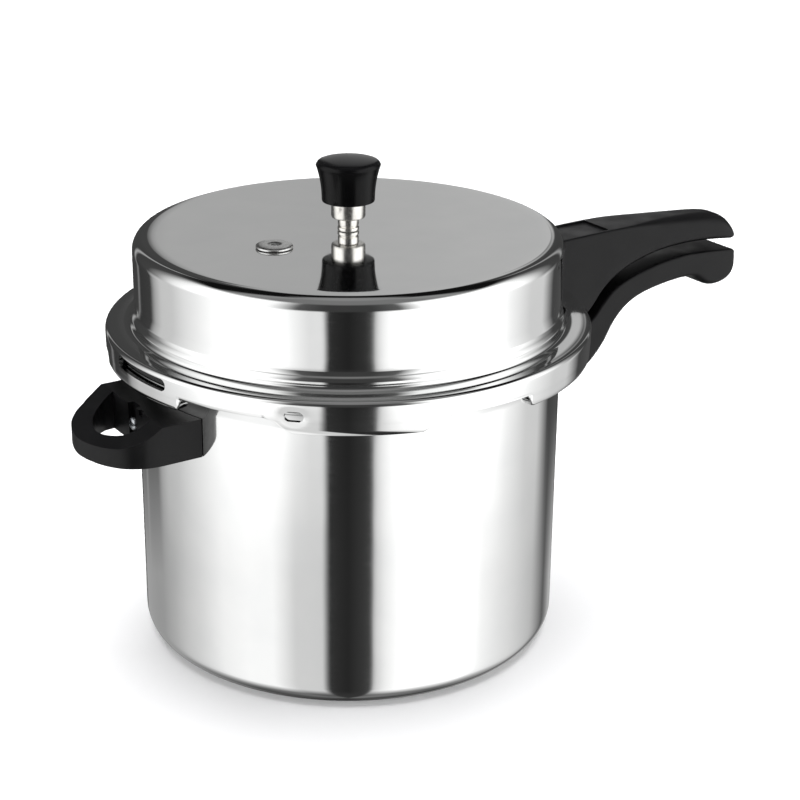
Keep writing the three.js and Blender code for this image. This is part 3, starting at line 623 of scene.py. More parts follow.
class COOKER_OT_lid(bpy.types.Operator):
    """Press the domed lid with its bead, flange, folded skirt and bayonet lugs"""

    bl_idname = "cooker.lid"
    bl_label = "Lid"

    def execute(self, context):
        sizes = context.scene.cooker_sizes
        dome = sizes.dome_radius / MM
        top = sizes.dome_top / MM
        skirt = sizes.skirt_radius / MM
        outline = [(r, top) for r in (0, 25, 50, 75, 95, 108, 113.2)]
        outline += [(114.3, top - 0.12), (115.4, top - 0.32)]
        outline += arc(dome - 8, top - 8, 8, 72, 0, 11)
        outline += [(dome, 224), (dome, 214), (dome, 205), (dome + 0.02, 199.2)]
        # The foot bulges in a bead before it turns out into the flange.
        outline += [(dome + 0.35, 197.7), (dome + 1.15, 196.5), (dome + 2.0, 195.4)]
        outline += [(dome + 2.4, 194.0), (dome + 2.3, 192.3), (dome + 2.35, 190.9)]
        outline += [(dome + 2.9, 190.0), (dome + 4.0, 189.5), (dome + 6.4, 189.4)]
        outline += [(dome + 8.8, 189.3), (dome + 10.6, 189.2), (dome + 12.4, 189.05)]
        outline += [(dome + 13.4, 188.9)]
        outline += arc(skirt - 2.9, 186.0, 2.9, 79, 0, 8)
        outline += [(skirt, 184.8), (skirt - 0.02, 183.2), (skirt - 0.04, 181.4)]
        outline += [(skirt - 0.08, 179.6), (skirt - 0.1, GAP_FOOT)]
        outline += [(skirt - 0.14, 176.9), (skirt - 0.18, 175.8)]
        outline += [(skirt - 0.22, 174.4), (skirt - 0.28, 173.0), (skirt - 0.35, TAB_BEND)]
        outline += [(skirt - 0.75, 170.9)]
        outline += [(skirt - inset, TAB_FOOT) for inset in (1.6, 4.7, 7.9)]
        bm = bmesh.new()
        turn(bm, outline, 480)
        bmesh.ops.remove_doubles(bm, verts=bm.verts, dist=0.002)
        shape_skirt(bm)
        press_in_slot(bm, skirt)
        metal = finish_named("buffed_aluminium", context)
        lid = finish_piece(
            bm,
            "lid_pressed_shell",
            metal,
            "lid",
            ["lid_shell"],
            open_sheet=True,
        )
        sheet = lid.modifiers.new("sheet", "SOLIDIFY")
        sheet.thickness = sizes.lid_sheet
        sheet.offset = -1
        sheet.use_even_offset = True
        apply_modifiers(lid)
        soften(lid, 0.7, 2, 60)
        apply_modifiers(lid)
        carve(lid, [window_tool(skirt)], folded=True)
        soften(lid, 0.2, 2, 60)
        return {"FINISHED"}


# ---- handles ----
# Steps round half of a handle's section: top facet, its corner, side, lower corner, underside.
FACET, CORNER, SIDE, UNDER, FLOOR = 4, 10, 5, 8, 4


def half_section(width, facet, shoulder, depth, under_width, under_height):
    """Half of a handle's section, from the middle of its top to the middle of its underside."""
    points = [(facet * i / FACET, 0) for i in range(FACET)]
    for i in range(CORNER):
        a = math.pi / 2 * i / CORNER
        points.append((facet + (width - facet) * math.sin(a), shoulder * (1 - math.cos(a))))
    straight = depth - shoulder - under_height
    points += [(width, shoulder + straight * i / SIDE) for i in range(SIDE)]
    for i in range(UNDER):
        a = math.pi / 2 * i / UNDER
        points.append(
            (width - under_width * (1 - math.cos(a)), depth - under_height * (1 - math.sin(a)))
        )
    flat = width - under_width
    points += [(flat * (1 - i / FLOOR), depth) for i in range(FLOOR + 1)]
    return points


def loft_handle(stations, parts):
    """Draws a handle through its stations.

    A station is (top x, top z, underside x, underside z, half width, top facet's half width,
    shoulder height, lower corner's width and height).
    """
    bm = bmesh.new()
    half_count = FACET + CORNER + SIDE + UNDER + FLOOR + 1
    count = 2 * half_count - 2
    last = None
    for row in smooth_row(stations, parts):
        top = Vector((row[0], 0, row[1]))
        down = Vector((row[2], 0, row[3])) - top
        depth = down.length
        half = half_section(row[4], row[5], row[6], depth, row[7], row[8])
        places = [top + down * (s / depth) + Vector((0, y, 0)) for y, s in half]
        places += [top + down * (s / depth) - Vector((0, y, 0)) for y, s in reversed(half[1:-1])]
        if last is None:
            ring = bmesh.ops.create_circle(bm, cap_ends=True, segments=count, radius=1)["verts"]
        else:
            grown = bmesh.ops.extrude_edge_only(bm, edges=last)["geom"]
            ring_verts = {g for g in grown if isinstance(g, bmesh.types.BMVert)}
            before = {}
            for vert in ring_verts:
                for edge in vert.link_edges:
                    other = edge.other_vert(vert)
                    if other not in ring_verts:
                        before[other] = vert
            ring = [before[v] for v in ring]
        for vert, place in zip(ring, places):
            vert.co = place
        wanted = set(ring)
        last = [e for e in bm.edges if e.verts[0] in wanted and e.verts[1] in wanted]
    bmesh.ops.contextual_create(bm, geom=last)
    return bm


LID_HANDLE_STATIONS = [
    # top x, top z, under x, under z, half width, facet, shoulder, lower corner
    (126.1, 205.0, 126.0, 191.4, 13.6, 12.0, 1.2, 1.0, 1.0),
    (127.0, 209.4, 126.9, 190.5, 14.6, 12.8, 1.6, 1.2, 1.2),
    (129.5, 211.5, 129.5, 190.3, 14.9, 13.2, 1.8, 1.2, 1.2),
    (134.0, 212.3, 134.0, 190.3, 15.0, 13.3, 1.8, 1.2, 1.2),
    (139.9, 212.6, 139.9, 190.3, 15.0, 13.3, 1.8, 1.2, 1.2),
]
# The grip's first row stands just past the block's last, so the two never share a face.
LID_HANDLE_GRIP = [
    (140.1, 212.6, 140.1, 158.2, 14.4, 13.3, 1.8, 1.6, 1.6),
    (141.2, 212.7, 141.2, 157.1, 15.0, 13.3, 1.8, 2.0, 2.0),
    (148.0, 213.0, 148.0, 157.0, 15.0, 13.3, 1.8, 2.5, 2.5),
    (154.0, 213.2, 155.0, 157.2, 15.0, 13.3, 1.8, 3.0, 3.0),
    (160.0, 213.3, 162.5, 159.8, 15.0, 13.3, 1.8, 3.5, 3.5),
    (166.5, 213.5, 169.5, 166.0, 15.0, 13.3, 1.8, 4.0, 4.0),
    (173.5, 213.6, 176.9, 174.3, 15.0, 13.3, 1.8, 5.0, 5.0),
    (183.5, 213.7, 187.0, 181.8, 15.0, 13.2, 2.0, 5.5, 5.5),
    (198.5, 213.6, 201.0, 187.6, 15.0, 12.4, 3.4, 6.5, 6.0),
    (219.0, 213.1, 221.0, 192.4, 14.9, 8.4, 7.6, 7.0, 5.5),
    (241.0, 212.1, 242.0, 194.1, 14.7, 5.0, 9.4, 7.0, 5.0),
    (261.0, 210.7, 262.0, 193.6, 14.5, 3.4, 9.8, 6.5, 4.5),
    (272.5, 209.0, 273.0, 192.8, 14.3, 2.8, 9.6, 5.5, 4.0),
    (279.5, 206.0, 279.0, 192.3, 14.0, 2.8, 8.4, 4.0, 3.0),
    (283.3, 201.8, 282.6, 192.2, 13.6, 3.2, 6.0, 2.6, 2.0),
    (285.2, 197.2, 284.6, 192.7, 12.8, 4.0, 2.6, 1.2, 1.0),
]
BODY_HANDLE_STATIONS = [
    (122.4, 150.5, 122.4, 117.0, 13.5, 12.3, 1.2, 1.5, 1.5),
    (130.0, 150.5, 130.0, 117.2, 13.5, 12.3, 1.2, 1.5, 1.5),
    (141.0, 150.5, 140.0, 117.6, 13.5, 12.3, 1.2, 2.0, 2.0),
    (152.0, 150.5, 150.0, 119.0, 13.5, 12.3, 1.2, 3.0, 3.0),
    (163.0, 152.6, 167.5, 126.3, 13.5, 12.2, 1.3, 4.0, 4.0),
    (171.5, 158.6, 180.2, 137.6, 13.5, 12.0, 1.5, 5.0, 5.0),
    (178.5, 166.4, 189.2, 151.3, 13.5, 12.0, 1.5, 5.5, 5.0),
    (187.0, 174.0, 198.5, 160.3, 13.5, 12.0, 1.5, 6.0, 5.0),
    (201.0, 180.0, 210.0, 166.0, 13.5, 12.0, 1.5, 6.0, 4.8),
    (222.0, 185.0, 227.0, 169.6, 13.5, 11.8, 1.7, 6.0, 4.6),
    (243.0, 187.2, 244.0, 171.2, 13.5, 11.8, 1.7, 6.0, 4.6),
    (253.0, 187.0, 253.5, 170.4, 13.5, 11.8, 1.7, 5.5, 4.6),
    (258.5, 186.8, 259.0, 167.4, 13.5, 11.8, 1.7, 5.0, 5.0),
    (263.5, 186.5, 264.0, 164.2, 13.5, 11.8, 1.7, 5.0, 5.0),
    (270.0, 186.0, 270.0, 162.6, 13.5, 11.8, 1.7, 5.0, 5.0),
    (276.5, 185.5, 277.0, 162.9, 13.5, 11.8, 1.7, 5.0, 5.0),
    (281.6, 185.1, 282.6, 165.2, 13.4, 11.8, 1.6, 4.5, 4.5),
    (284.4, 184.8, 285.6, 169.5, 13.2, 11.8, 1.4, 3.0, 3.0),
    (286.0, 183.8, 286.6, 174.5, 12.7, 11.6, 1.0, 1.5, 1.5),
]


def wrap_root(bm, reach, near):
    """Lets a handle's root face follow the round wall behind it, fading out towards near."""
    for vert in bm.verts:
        if vert.co.x < near:
            share = 1 - max(0.0, vert.co.x - reach) / (near - reach)
            vert.co.x -= share * (reach - math.sqrt(max(reach**2 - vert.co.y**2, 0)))


class COOKER_OT_long_handles(bpy.types.Operator):
    """Mould the long handle of the lid and the one of the pot below it"""

    bl_idname = "cooker.long_handles"
    bl_label = "Long Handles"

    def execute(self, context):
        resin = finish_named("satin_moulded_phenolic", context)
        bm = loft_handle(BODY_HANDLE_STATIONS, 5)
        wrap_root(bm, POT_ROOT, 128.0)
        lower = finish_piece(
            bm, "body_handle_moulding", resin, "pot", ["body_handle"], sharp=40
        )
        carve(lower, [screw_bore(BODY_SCREW_X, 4.5, 110, 123.9)], 40)
        # The lid's handle is a shallow block against the dome, then a deeper grip.
        bm = loft_handle(LID_HANDLE_STATIONS, 3)
        wrap_root(bm, LID_ROOT, 133.0)
        take_in(bm, loft_handle(LID_HANDLE_GRIP, 6))
        upper = finish_piece(
            bm, "lid_handle_moulding", resin, "lid", ["lid_handle"], sharp=40
        )
        recess = box_tool((134.5, -12.0, 212.4), (181.0, 12.0, 218.0), 1.5, 2, 4)
        carve(upper, [recess, screw_bore(LID_SCREW_X, 4.5, 150, 163.4)], 40)
        return {"FINISHED"}


HELPER_HEAD = 161.5
HELPER_FOOT = 139.5


def helper_top(x):
    """Height of the helper handle's top, which falls away from its block to its nose."""
    rows = [(-175, 148.6), (-161, 150.6), (-153, 153.4), (-146, 157.2), (-139.5, HELPER_HEAD)]
    for (x0, z0), (x1, z1) in zip(rows, rows[1:]):
        if x <= x1:
            return z0 + (z1 - z0) * (x - x0) / (x1 - x0)
    return HELPER_HEAD


class COOKER_OT_helper_handle(bpy.types.Operator):
    """Mould the looped helper handle with the ribbed wall of its finger hole"""

    bl_idname = "cooker.helper_handle"
    bl_label = "Helper Handle"

    def execute(self, context):
        wall_steps, side_steps = 24, 8
        half, hole_half, wall, block_end = 38.0, 24.0, -139.0, -139.5
        swing = math.asin(half / POT_ROOT)
        outer = []
        for i in range(wall_steps):
            a = swing * (1 - 2 * i / wall_steps)
            outer.append((-POT_ROOT * math.cos(a), POT_ROOT * math.sin(a)))
        root = outer[0][0]
        sides = [root + (block_end - root) * i / side_steps for i in range(side_steps + 1)]
        outer += [(x, -half) for x in sides[:-1]]
        nose = [(block_end, -half), (-145, -37.4), (-151, -35.6)]
        nose += [(-160, -29.8), (-167.6, -17.6), (-171.4, 0)]
        nose += [(x, -y) for x, y in reversed(nose[:-1])]
        outer += [tuple(p) for p in smooth_row(nose, 6)[:-1]]
        outer += [(x, half) for x in reversed(sides[1:])]
        hole = [(wall, -hole_half), (-142.5, -23.8), (-146, -22.9)]
        hole += [(-153, -18.3), (-158.3, -10), (-160.5, 0)]
        hole += [(x, -y) for x, y in reversed(hole[:-1])]
        # The flat wall of the hole runs from +Y to -Y and starts a quarter of the way round it.
        flat = wall_steps + 2 * side_steps
        across = [(wall, hole_half * (1 - 2 * i / flat)) for i in range(flat)]
        inner = across[side_steps:]
        inner += [tuple(p) for p in smooth_row(hole, 6)[:-1]]
        inner += across[:side_steps]
        bm = bmesh.new()
        for outline in (outer, inner):
            ring = bmesh.ops.create_circle(bm, segments=len(outline), radius=1)["verts"]
            for vert, (x, y) in zip(ring, outline):
                vert.co = (x, y, helper_top(x))
        # The ring of faces between the two outlines is the top. It is drawn down to the underside.
        bmesh.ops.bridge_loops(bm, edges=bm.edges[:])
        drawn = bmesh.ops.extrude_face_region(bm, geom=bm.faces[:], use_keep_orig=True)["geom"]
        for vert in drawn:
            if isinstance(vert, bmesh.types.BMVert):
                vert.co.z = HELPER_FOOT
        resin = finish_named("satin_moulded_phenolic", context)
        loop = finish_piece(
            bm, "helper_handle_moulding", resin, "pot", ["helper_handle"]
        )
        # Two channels run up the hole's wall: the screw's, and a shallow one beside it.
        channels = [
            box_tool((wall - 6, -4.6, 143.5), (wall + 3.4, 4.6, 166), 0.6),
            box_tool((wall - 6, -12.5, 158.5), (wall + 1.4, -8.5, 166), 0.4),
        ]
        carve(loop, channels)
        soften(loop, 1.1, 4, 50)
        return {"FINISHED"}


# ---- small turned parts ----
def turned_piece(context, name, outline, finish, body, slot, node, steps=96, place=None):
    """Turns one small part about its own axis and puts it in its place."""
    bm = bmesh.new()
    turn(bm, outline, steps)
    bmesh.ops.remove_doubles(bm, verts=bm.verts, dist=0.002)
    if place is not None:
        bmesh.ops.transform(bm, matrix=place, verts=bm.verts)
    return finish_piece(bm, name, finish_named(finish, context), body, [node])


class COOKER_OT_weight(bpy.types.Operator):
    """Turn the plated weight and its black knob"""

    bl_idname = "cooker.weight"
    bl_label = "Weight"

    def execute(self, context):
        lid_top = context.scene.cooker_sizes.dome_top / MM
        foot = lid_top + 7.7
        collar_top = lid_top + 16.9
        body = [(0, 253.4), (1.2, 255.6), (4.3, 255.7), (4.3, foot + 0.3), (4.6, foot)]
        body += [(8.7, foot), (9.4, foot + 0.35), (9.7, foot + 1.1), (9.7, collar_top - 0.2)]
        body += [(9.5, collar_top), (7, collar_top), (7, 270.8), (0, 270.8)]
        brass = ("plated_turned_brass", "weight", "chromed_brass", "weight_body")
        collar = turned_piece(context, "weight_turned_body", body, *brass)
        collar.data.set_sharp_from_angle(angle=math.radians(28))
        knob = [(0, 271.2), (7.2, 271.2), (7.2, 256.0), (14.2, 256.0), (14.8, 256.25)]
        knob += [(15.0, 256.9), (15.05, 259), (15.2, 262), (15.5, 265), (15.95, 268)]
        knob += [(16.6, 271), (17.25, 273.6), (17.9, 275.8), (18.25, 276.7), (18.2, 277.1)]
        knob += [(17.4, 278.45), (16.9, 278.9), (15.9, 279.3), (12, 280.0), (8, 280.4)]
        knob += [(4, 280.61), (0, 280.68)]
        resin = ("glossy_moulded_phenolic", "weight", "black_phenolic", "weight_knob")
        turned_piece(context, "weight_moulded_knob", knob, *resin, 128)
        return {"FINISHED"}


class COOKER_OT_vent_and_valve(bpy.types.Operator):
    """Turn the vent tube, the fusible safety valve and the nuts that hold them"""

    bl_idname = "cooker.vent_and_valve"
    bl_label = "Vent and Safety Valve"

    def execute(self, context):
        top = context.scene.cooker_sizes.dome_top / MM
        tube = [(1.6, 228), (2.7, 228), (3, 228.4), (3, top + 0.3), (5.9, top + 0.3)]
        tube += [(6.1, top + 0.6), (6.1, top + 2.0), (5.9, top + 2.3), (5.2, top + 2.6)]
        tube += [(5.2, top + 3.0), (5.8, top + 3.4), (5.9, top + 3.7), (5.9, top + 7.1)]
        tube += [(5.6, top + 7.4), (4, top + 7.4), (4, top + 15.6)]
        tube += [(3.1, top + 16.5), (1.6, top + 16.5)]
        brass = ("plated_turned_brass", "lid", "chromed_brass", "vent_tube")
        turned_piece(context, "vent_turned_tube", tube, *brass)
        centre = (VALVE_LOW + VALVE_HIGH) / 2 / MM
        place = Matrix.Translation((centre.x, centre.y, 0))
        seat = top + 0.3
        valve = [(2, 228.5), (4.7, 228.5), (5, 228.9), (5, seat), (10.0, seat), (10.3, seat + 0.25)]
        valve += [(10.3, seat + 0.8), (10.1, seat + 1.15), (9.6, seat + 1.45), (8, seat + 1.7)]
        valve += [(4.6, seat + 1.9), (4.0, seat + 1.85), (3.4, seat + 1.6), (2.7, seat + 1.3)]
        valve += [(2, seat + 1.2)]
        satin = ("satin_turned_aluminium", "lid", "polished_aluminium", "safety_valve_body")
        turned_piece(context, "safety_valve_turned_body", valve, *satin, place=place)
        plug = [(0, top - 5), (1.7, top - 5), (1.7, top + 1.3), (1.5, top + 1.65)]
        plug += [(0.9, top + 1.95), (0, top + 2.05)]
        alloy = ("cast_fusible_alloy", "lid", "fusible_alloy", "safety_valve_fusible_plug")
        turned_piece(context, "safety_valve_cast_plug", plug, *alloy, 48, place)
        # Under the lid, each is held by a nut with a ring above it: a washer, and the valve's seal.
        under = top - 3.3
        steel = ("zinc_plated_steel", "lid", "zinc_steel")
        rubber = ("pressed_nitrile_rubber", "lid", "black_rubber")
        for name, node, bore, outer, thick, look, where in (
            ("vent_flat_washer", "vent_tube_washer", 3.3, 7.0, 1.2, steel, None),
            ("safety_valve_seal", "safety_valve_washer", 5.3, 9.4, 1.5, rubber, place),
        ):
            foot = under - thick
            ring = [(bore, foot), (outer - 0.2, foot), (outer, foot + 0.2)]
            ring += [(outer, under - 0.2), (outer - 0.2, under), (bore, under)]
            turned_piece(context, name, ring, *look, node, 64, where)
        for name, node, bore, corners, thick, where in (
            ("vent_hex_nut", "vent_tube_nut", 3.3, 6.35, 1.2, None),
            ("safety_valve_hex_nut", "safety_valve_nut", 5.3, 8.65, 1.5, place),
        ):
            head = under - thick - 0.3
            section = [(bore, head - 4.5), (corners, head - 4.5), (corners, head), (bore, head)]
            nut = turned_piece(context, name, section, *steel, node, 6, where)
            soften(nut, 0.3, 2, 30)
        return {"FINISHED"}


class COOKER_OT_gasket(bpy.types.Operator):
    """Turn the channel-section sealing ring"""

    bl_idname = "cooker.gasket"
    bl_label = "Gasket"

    def execute(self, context):
        low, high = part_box("sealing_gasket")
        foot, top = low.z / MM, high.z / MM
        ring = [(121, foot + 0.3), (121.3, foot), (134.4, foot), (134.8, foot + 0.4)]
        ring += [(134.8, top - 0.4), (134.4, top), (121.3, top), (121, top - 0.3)]
        ring += [(121, top - 1.5), (121.4, top - 1.7)]
        ring += [(128.6, top - 2.0), (129, top - 2.4), (129, foot + 2.4), (128.6, foot + 2.0)]
        ring += [(121.4, foot + 1.7), (121, foot + 1.5)]
        rubber = ("pressed_nitrile_rubber", "gasket", "black_rubber", "sealing_gasket")
        turned_piece(context, "sealing_ring", ring, *rubber, 192)
        return {"FINISHED"}


def rivet_outline(inner_face, outer_face, shank, head, height):
    """A rivet with a low domed head at each end."""
    inside = inner_face - 0.3
    outside = outer_face + 0.3
    angles = (1.5, 1.2, 0.9, 0.6, 0.3, 0.0)
    low = [(head * math.cos(a), inside - height * math.sin(a)) for a in angles]
    high = [(x, outside + inside - z) for x, z in reversed(low)]
    shaft = [(shank, inside), (shank, outside)]
    return [(0, inside - height), *low, *shaft, *high, (0, outside + height)]


class COOKER_OT_fasteners(bpy.types.Operator):
    """Turn the rivets and screws that hold the handles, and finish the brackets"""

    bl_idname = "cooker.fasteners"
    bl_label = "Fasteners"

    def execute(self, context):
        sideways = Matrix.Rotation(math.pi / 2, 4, "Y")
        # Each kind's inner face, outer face, shank radius, head radius and head height.
        pot_kind = (118.8, 125.3, 2, 4, 1.6)
        helper_kind = (118.8, 124.8, 1.8, 3.2, 1.5)
        lid_kind = (136.1, 142.5, 1.4, 2.4, 1.3)
        for name, node, body, angle, height, kind in (
            ("body_rivet_upper", "body_bracket_rivet_2", "pot", 0, 144.5, pot_kind),
            ("body_rivet_lower", "body_bracket_rivet_1", "pot", 0, 125.5, pot_kind),
            ("helper_rivet_left", "helper_bracket_rivet_1", "pot", 175, 150.5, helper_kind),
            ("helper_rivet_right", "helper_bracket_rivet_2", "pot", 185, 150.5, helper_kind),
            ("lid_rivet_left", "lid_bracket_rivet_2", "lid", 3, 173.3, lid_kind),
            ("lid_rivet_right", "lid_bracket_rivet_1", "lid", -3, 173.3, lid_kind),
        ):
            aim = Matrix.Rotation(math.radians(angle), 4, "Z") @ sideways
            place = Matrix.Translation((0, 0, height)) @ aim
            look = ("buffed_aluminium", body, "polished_aluminium", node)
            turned_piece(context, name, rivet_outline(*kind), *look, 32, place)
        # Each screw's head radius and height, its length and shank radius, and its place.
        body_place = Matrix.Translation((BODY_SCREW_X, 0, 121))
        lid_place = Matrix.Translation((LID_SCREW_X, 0, 160.5))
        helper_place = Matrix.Translation((-140.2, 0, 150.5)) @ sideways
        for name, body, head, height, length, shank, place in (
            ("body_handle", "pot", 4.0, 2.6, 19.5, 2.0, body_place),
            ("lid_handle", "lid", 4.0, 2.6, 23.0, 2.0, lid_place),
            ("helper_handle", "pot", 3.8, 2.4, 13.2, 1.7, helper_place),
        ):
            outline = [(0, 0), (head * 0.4, 0.08), (head * 0.7, 0.35)]
            outline += [(head * 0.9, 0.9), (head, 1.6)]
            outline += [(head, height - 0.2), (head - 0.2, height), (shank, height)]
            outline += [(shank, length - 1), (shank * 0.5, length), (0, length)]
            look = ("zinc_plated_steel", body, "zinc_steel", name + "_screw")
            screw = turned_piece(context, name + "_pan_screw", outline, *look, 48, place)
            # A cross recess for the driver.
            reach, half_blade, depth = head * 0.68, 0.55, 1.1
            blades = []
            for x, y in ((reach, half_blade), (half_blade, reach)):
                blade = box_tool((-x, -y, -1), (x, y, depth))
                bmesh.ops.transform(blade, matrix=place, verts=blade.verts)
                blades.append(blade)
            carve(screw, blades)
        steel = finish_named("zinc_plated_steel", context)
        for name in (
            "body_handle_bracket",
            "helper_handle_bracket",
            "lid_handle_bracket",
            "weight_retaining_ring",
        ):
            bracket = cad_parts[name]
            bracket.material_slots[0].material = steel
        return {"FINISHED"}


# ---- stage ----
CAMERA_AZIMUTH = math.radians(-32)
CAMERA_ELEVATION = math.radians(21.63)
CAMERA_DISTANCE = 1.1008
AIM = Vector((0, 0, 0.1353))

# The studio's light is four rings of grey tones, each by compass angle in degrees from the
# camera, positive to its right: the table round the pan, the wall, the room and the ceiling.
TABLE_TONES = [
    (-180, 0.06), (-165, 0.1), (-160, 0.38), (-136, 0.35), (-127, 0.36), (-113, 0.48),
    (-101, 0.64), (-91, 0.75), (-81, 0.9), (-73, 1.03), (-57, 1.13), (-42, 1.13), (-35, 0.92),
    (-29, 0.73), (-14, 0.72), (-10.5, 0.035), (0, 0.022), (9, 0.045), (12.3, 0.07), (14.5, 0.7),
    (20, 1.0), (31, 1.35), (71, 1.35), (79, 1.1), (93, 0.9), (110, 0.71), (124, 0.55),
    (132, 0.35), (143, 0.11), (152, 0.3), (161, 0.5), (180, 0.06),
]
WALL_TONES = [
    (-180, 0.05), (-150, 0.05), (-147, 0.24), (-144, 0.04), (-128, 0.05), (-123, 0.4),
    (-116, 0.63), (-105, 0.66), (-95, 0.86), (-86, 1.0), (-77, 1.17), (-65, 1.4), (-36, 1.4),
    (-28, 1.1), (-20, 0.88), (-13, 0.9), (-10.5, 0.03), (0, 0.018), (9, 0.035), (12.3, 0.08),
    (14.5, 0.75), (18, 1.07), (26, 1.45), (84, 1.45), (94, 1.1), (104, 0.87), (111, 0.72),
    (124, 0.7), (132, 0.3), (138, 0.06), (156, 0.08), (180, 0.05),
]
ROOM_TONES = [
    (-180, 0.42), (-173.5, 0.43), (-171.5, 0.06), (-150, 0.05), (-147, 0.5), (-144, 0.05),
    (-125, 0.06), (-115, 0.3), (-100, 1.0), (-85, 1.4), (-50, 1.4), (-40, 1.2), (-26, 0.1),
    (-12, 0.05), (12, 0.05), (26, 0.12), (38, 1.3), (60, 1.5), (95, 1.5), (108, 0.9),
    (120, 0.3), (130, 0.06), (143, 0.05), (146, 0.4), (150, 0.05), (168, 0.06), (169.5, 0.52),
    (180, 0.46),
]
CEILING_TONES = [
    (-180, 0.006), (-100, 0.006), (-80, 0.3), (-50, 0.2), (-30, 0.2), (30, 0.2), (50, 0.2),
    (80, 0.3), (100, 0.006), (180, 0.006),
]
# Each ring fades into the one below it between two heights, given as sines of elevation.
LIGHT_RINGS = [
    (TABLE_TONES, -1.01, -1.0),
    (WALL_TONES, -0.45, -0.37),
    (ROOM_TONES, -0.2, -0.05),
    (CEILING_TONES, 0.62, 0.74),
]
# A colour ramp's colours stop at 1, so tones are stored as shares of this.
TONE_SCALE = 2.0


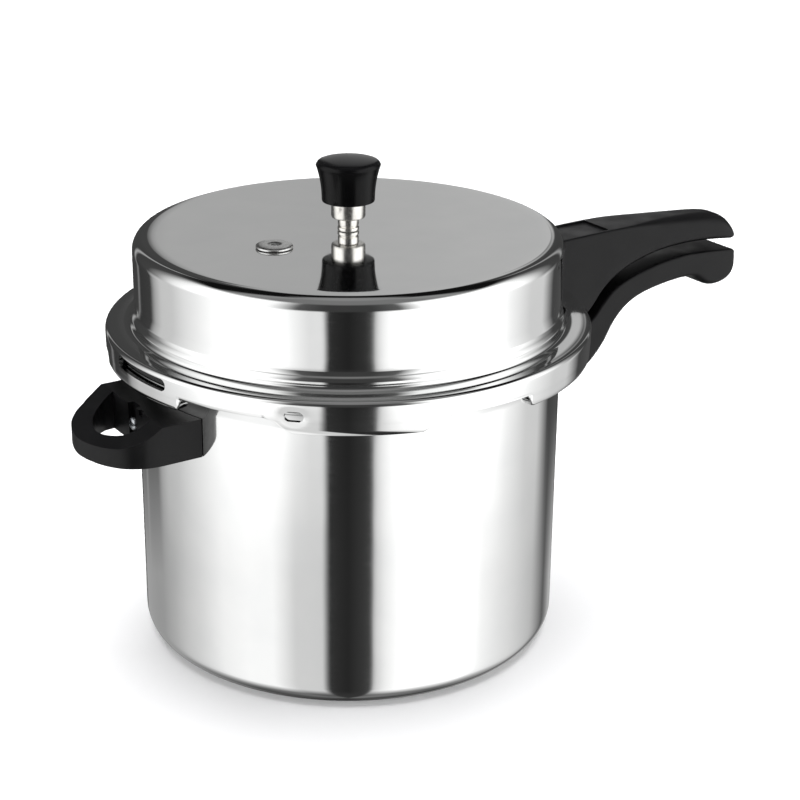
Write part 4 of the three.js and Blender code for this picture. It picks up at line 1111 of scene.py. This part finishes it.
class COOKER_OT_stage(bpy.types.Operator):
    """Set the pale floor, the studio light and the camera"""

    bl_idname = "cooker.stage"
    bl_label = "Stage"

    def execute(self, context):
        scene = context.scene
        finishes = scene.cooker_finishes
        scene.view_settings.view_transform = "Standard"
        # A floor wide enough to fill the view, and a pale wall beyond it.
        bm = bmesh.new()
        bmesh.ops.create_circle(bm, cap_ends=True, segments=96, radius=9)
        floor = self.staged(bm, "floor", finishes.floor, 0.0)
        floor.visible_glossy = False
        bm = bmesh.new()
        turn(bm, [(8.9, -0.5), (8.9, 8.0), (8.8, 8.0), (8.8, -0.5)], 96)
        wall = self.staged(bm, "backdrop", finishes.floor, 0.9)
        wall.visible_glossy = False
        wall.visible_diffuse = False
        wall.visible_shadow = False
        self.world(scene)
        lamp = bpy.data.lights.new("overhead_lamp", "SUN")
        lamp.energy = finishes.lamp_strength
        lamp.angle = math.radians(70)
        overhead = bpy.data.objects.new("overhead_lamp", lamp)
        overhead.rotation_euler = (math.radians(-12), math.radians(8), 0)
        overhead.visible_glossy = False
        scene.collection.objects.link(overhead)
        view = bpy.data.cameras.new("camera")
        view.lens = 84.54
        view.sensor_width = 36
        view.shift_x = 0.0646
        view.clip_end = 50
        camera = bpy.data.objects.new("camera", view)
        back = Vector(
            (
                math.sin(CAMERA_AZIMUTH) * math.cos(CAMERA_ELEVATION),
                -math.cos(CAMERA_AZIMUTH) * math.cos(CAMERA_ELEVATION),
                math.sin(CAMERA_ELEVATION),
            )
        )
        camera.location = AIM + back * CAMERA_DISTANCE
        camera.rotation_euler = (math.pi / 2 - CAMERA_ELEVATION, 0, CAMERA_AZIMUTH)
        scene.collection.objects.link(camera)
        scene.camera = camera
        return {"FINISHED"}

    def staged(self, bm, name, colour, glow):
        """A stage object with one matt paint."""
        mesh = bpy.data.meshes.new(name)
        bm.to_mesh(mesh)
        bm.free()
        paint = bpy.data.materials.new(name + "_paint")
        paint.use_nodes = True
        shader = paint.node_tree.nodes["Principled BSDF"]
        shader.inputs["Base Color"].default_value = linear(colour)
        shader.inputs["Roughness"].default_value = 0.9
        shader.inputs["Emission Color"].default_value = linear(colour)
        shader.inputs["Emission Strength"].default_value = glow
        mesh.materials.append(paint)
        thing = bpy.data.objects.new(name, mesh)
        bpy.context.scene.collection.objects.link(thing)
        return thing

    def faded(self, tree, height, foot, head, below, above, least=0.0):
        """Tones that change from those below to those above between two heights."""
        levels = {"Value": height, "From Min": foot, "From Max": head, "To Min": least}
        rise = add_node(tree, "ShaderNodeMapRange", levels).outputs[0]
        colours = {FIRST_COLOUR: below, SECOND_COLOUR: above}
        mixed = add_node(tree, "ShaderNodeMix", {"Factor": rise, **colours}, data_type="RGBA")
        return mixed.outputs[MIXED_COLOUR]

    def world(self, scene):
        """Softboxes and dark flags round the table, by compass angle and height."""
        world = bpy.data.worlds.new("studio")
        scene.world = world
        world.use_nodes = True
        tree = world.node_tree
        way = add_node(tree, "ShaderNodeTexCoord").outputs["Generated"]
        turned = add_node(
            tree,
            "ShaderNodeVectorRotate",
            {"Vector": way, "Angle": math.pi / 2 - CAMERA_AZIMUTH},
            rotation_type="Z_AXIS",
        )
        parts = add_node(tree, "ShaderNodeSeparateXYZ", {0: turned.outputs[0]})
        compass = add_node(
            tree, "ShaderNodeMath", {0: parts.outputs[1], 1: parts.outputs[0]}, operation="ARCTAN2"
        )
        share = add_node(
            tree,
            "ShaderNodeMath",
            {0: compass.outputs[0], 1: 1 / math.tau, 2: 0.5},
            operation="MULTIPLY_ADD",
        ).outputs[0]
        height = parts.outputs[2]
        tones = (0, 0, 0, 1)
        for ring, foot, head in LIGHT_RINGS:
            ramp = add_node(tree, "ShaderNodeValToRGB", {0: share})
            stops = ramp.color_ramp.elements
            while len(stops) < len(ring):
                stops.new(0.5)
            for stop, (degrees, tone) in zip(stops, ring):
                stop.position = degrees / 360 + 0.5
                stop.color = (tone / TONE_SCALE, tone / TONE_SCALE, tone / TONE_SCALE, 1)
            tones = self.faded(tree, height, foot, head, tones, ramp.outputs["Color"])
        # A grey ceiling hangs overhead, and the pan shuts out most light from straight below.
        overhead, underneath, least_light = (0.13, 0.13, 0.13, 1), (0.02, 0.02, 0.02, 1), 0.12
        tones = self.faded(tree, height, 0.955, 0.985, tones, overhead)
        tones = self.faded(tree, height, -0.92, -0.66, underneath, tones, least_light)
        background = tree.nodes["Background"]
        tree.links.new(tones, background.inputs["Color"])
        background.inputs["Strength"].default_value = TONE_SCALE


# ---- panel and registration ----
class COOKER_PT_panel(bpy.types.Panel):
    """Sizes, finishes and pieces of the cooker"""

    bl_label = "Pressure Cooker"
    bl_space_type = "VIEW_3D"
    bl_region_type = "UI"
    bl_category = "Cooker"

    def draw(self, context):
        layout = self.layout
        for group in (context.scene.cooker_sizes, context.scene.cooker_finishes):
            for name in group.bl_rna.properties.keys():
                if name not in ("rna_type", "name"):
                    layout.prop(group, name)
        for operator in OPERATORS:
            layout.operator(operator.bl_idname)


OPERATORS = (
    COOKER_OT_pot,
    COOKER_OT_lid,
    COOKER_OT_long_handles,
    COOKER_OT_helper_handle,
    COOKER_OT_weight,
    COOKER_OT_vent_and_valve,
    COOKER_OT_gasket,
    COOKER_OT_fasteners,
    COOKER_OT_stage,
)
CLASSES = (CookerSizes, CookerFinishes, *OPERATORS, COOKER_PT_panel)


def register():
    for cls in CLASSES:
        bpy.utils.register_class(cls)
    bpy.types.Scene.cooker_sizes = bpy.props.PointerProperty(type=CookerSizes)
    bpy.types.Scene.cooker_finishes = bpy.props.PointerProperty(type=CookerFinishes)


def unregister():
    del bpy.types.Scene.cooker_finishes
    del bpy.types.Scene.cooker_sizes
    for cls in reversed(CLASSES):
        bpy.utils.unregister_class(cls)


def main():
    """Builds every piece and the stage."""
    register()
    for operator in OPERATORS:
        group, name = operator.bl_idname.split(".")
        getattr(getattr(bpy.ops, group), name)()


if __name__ == "__main__":
    main()
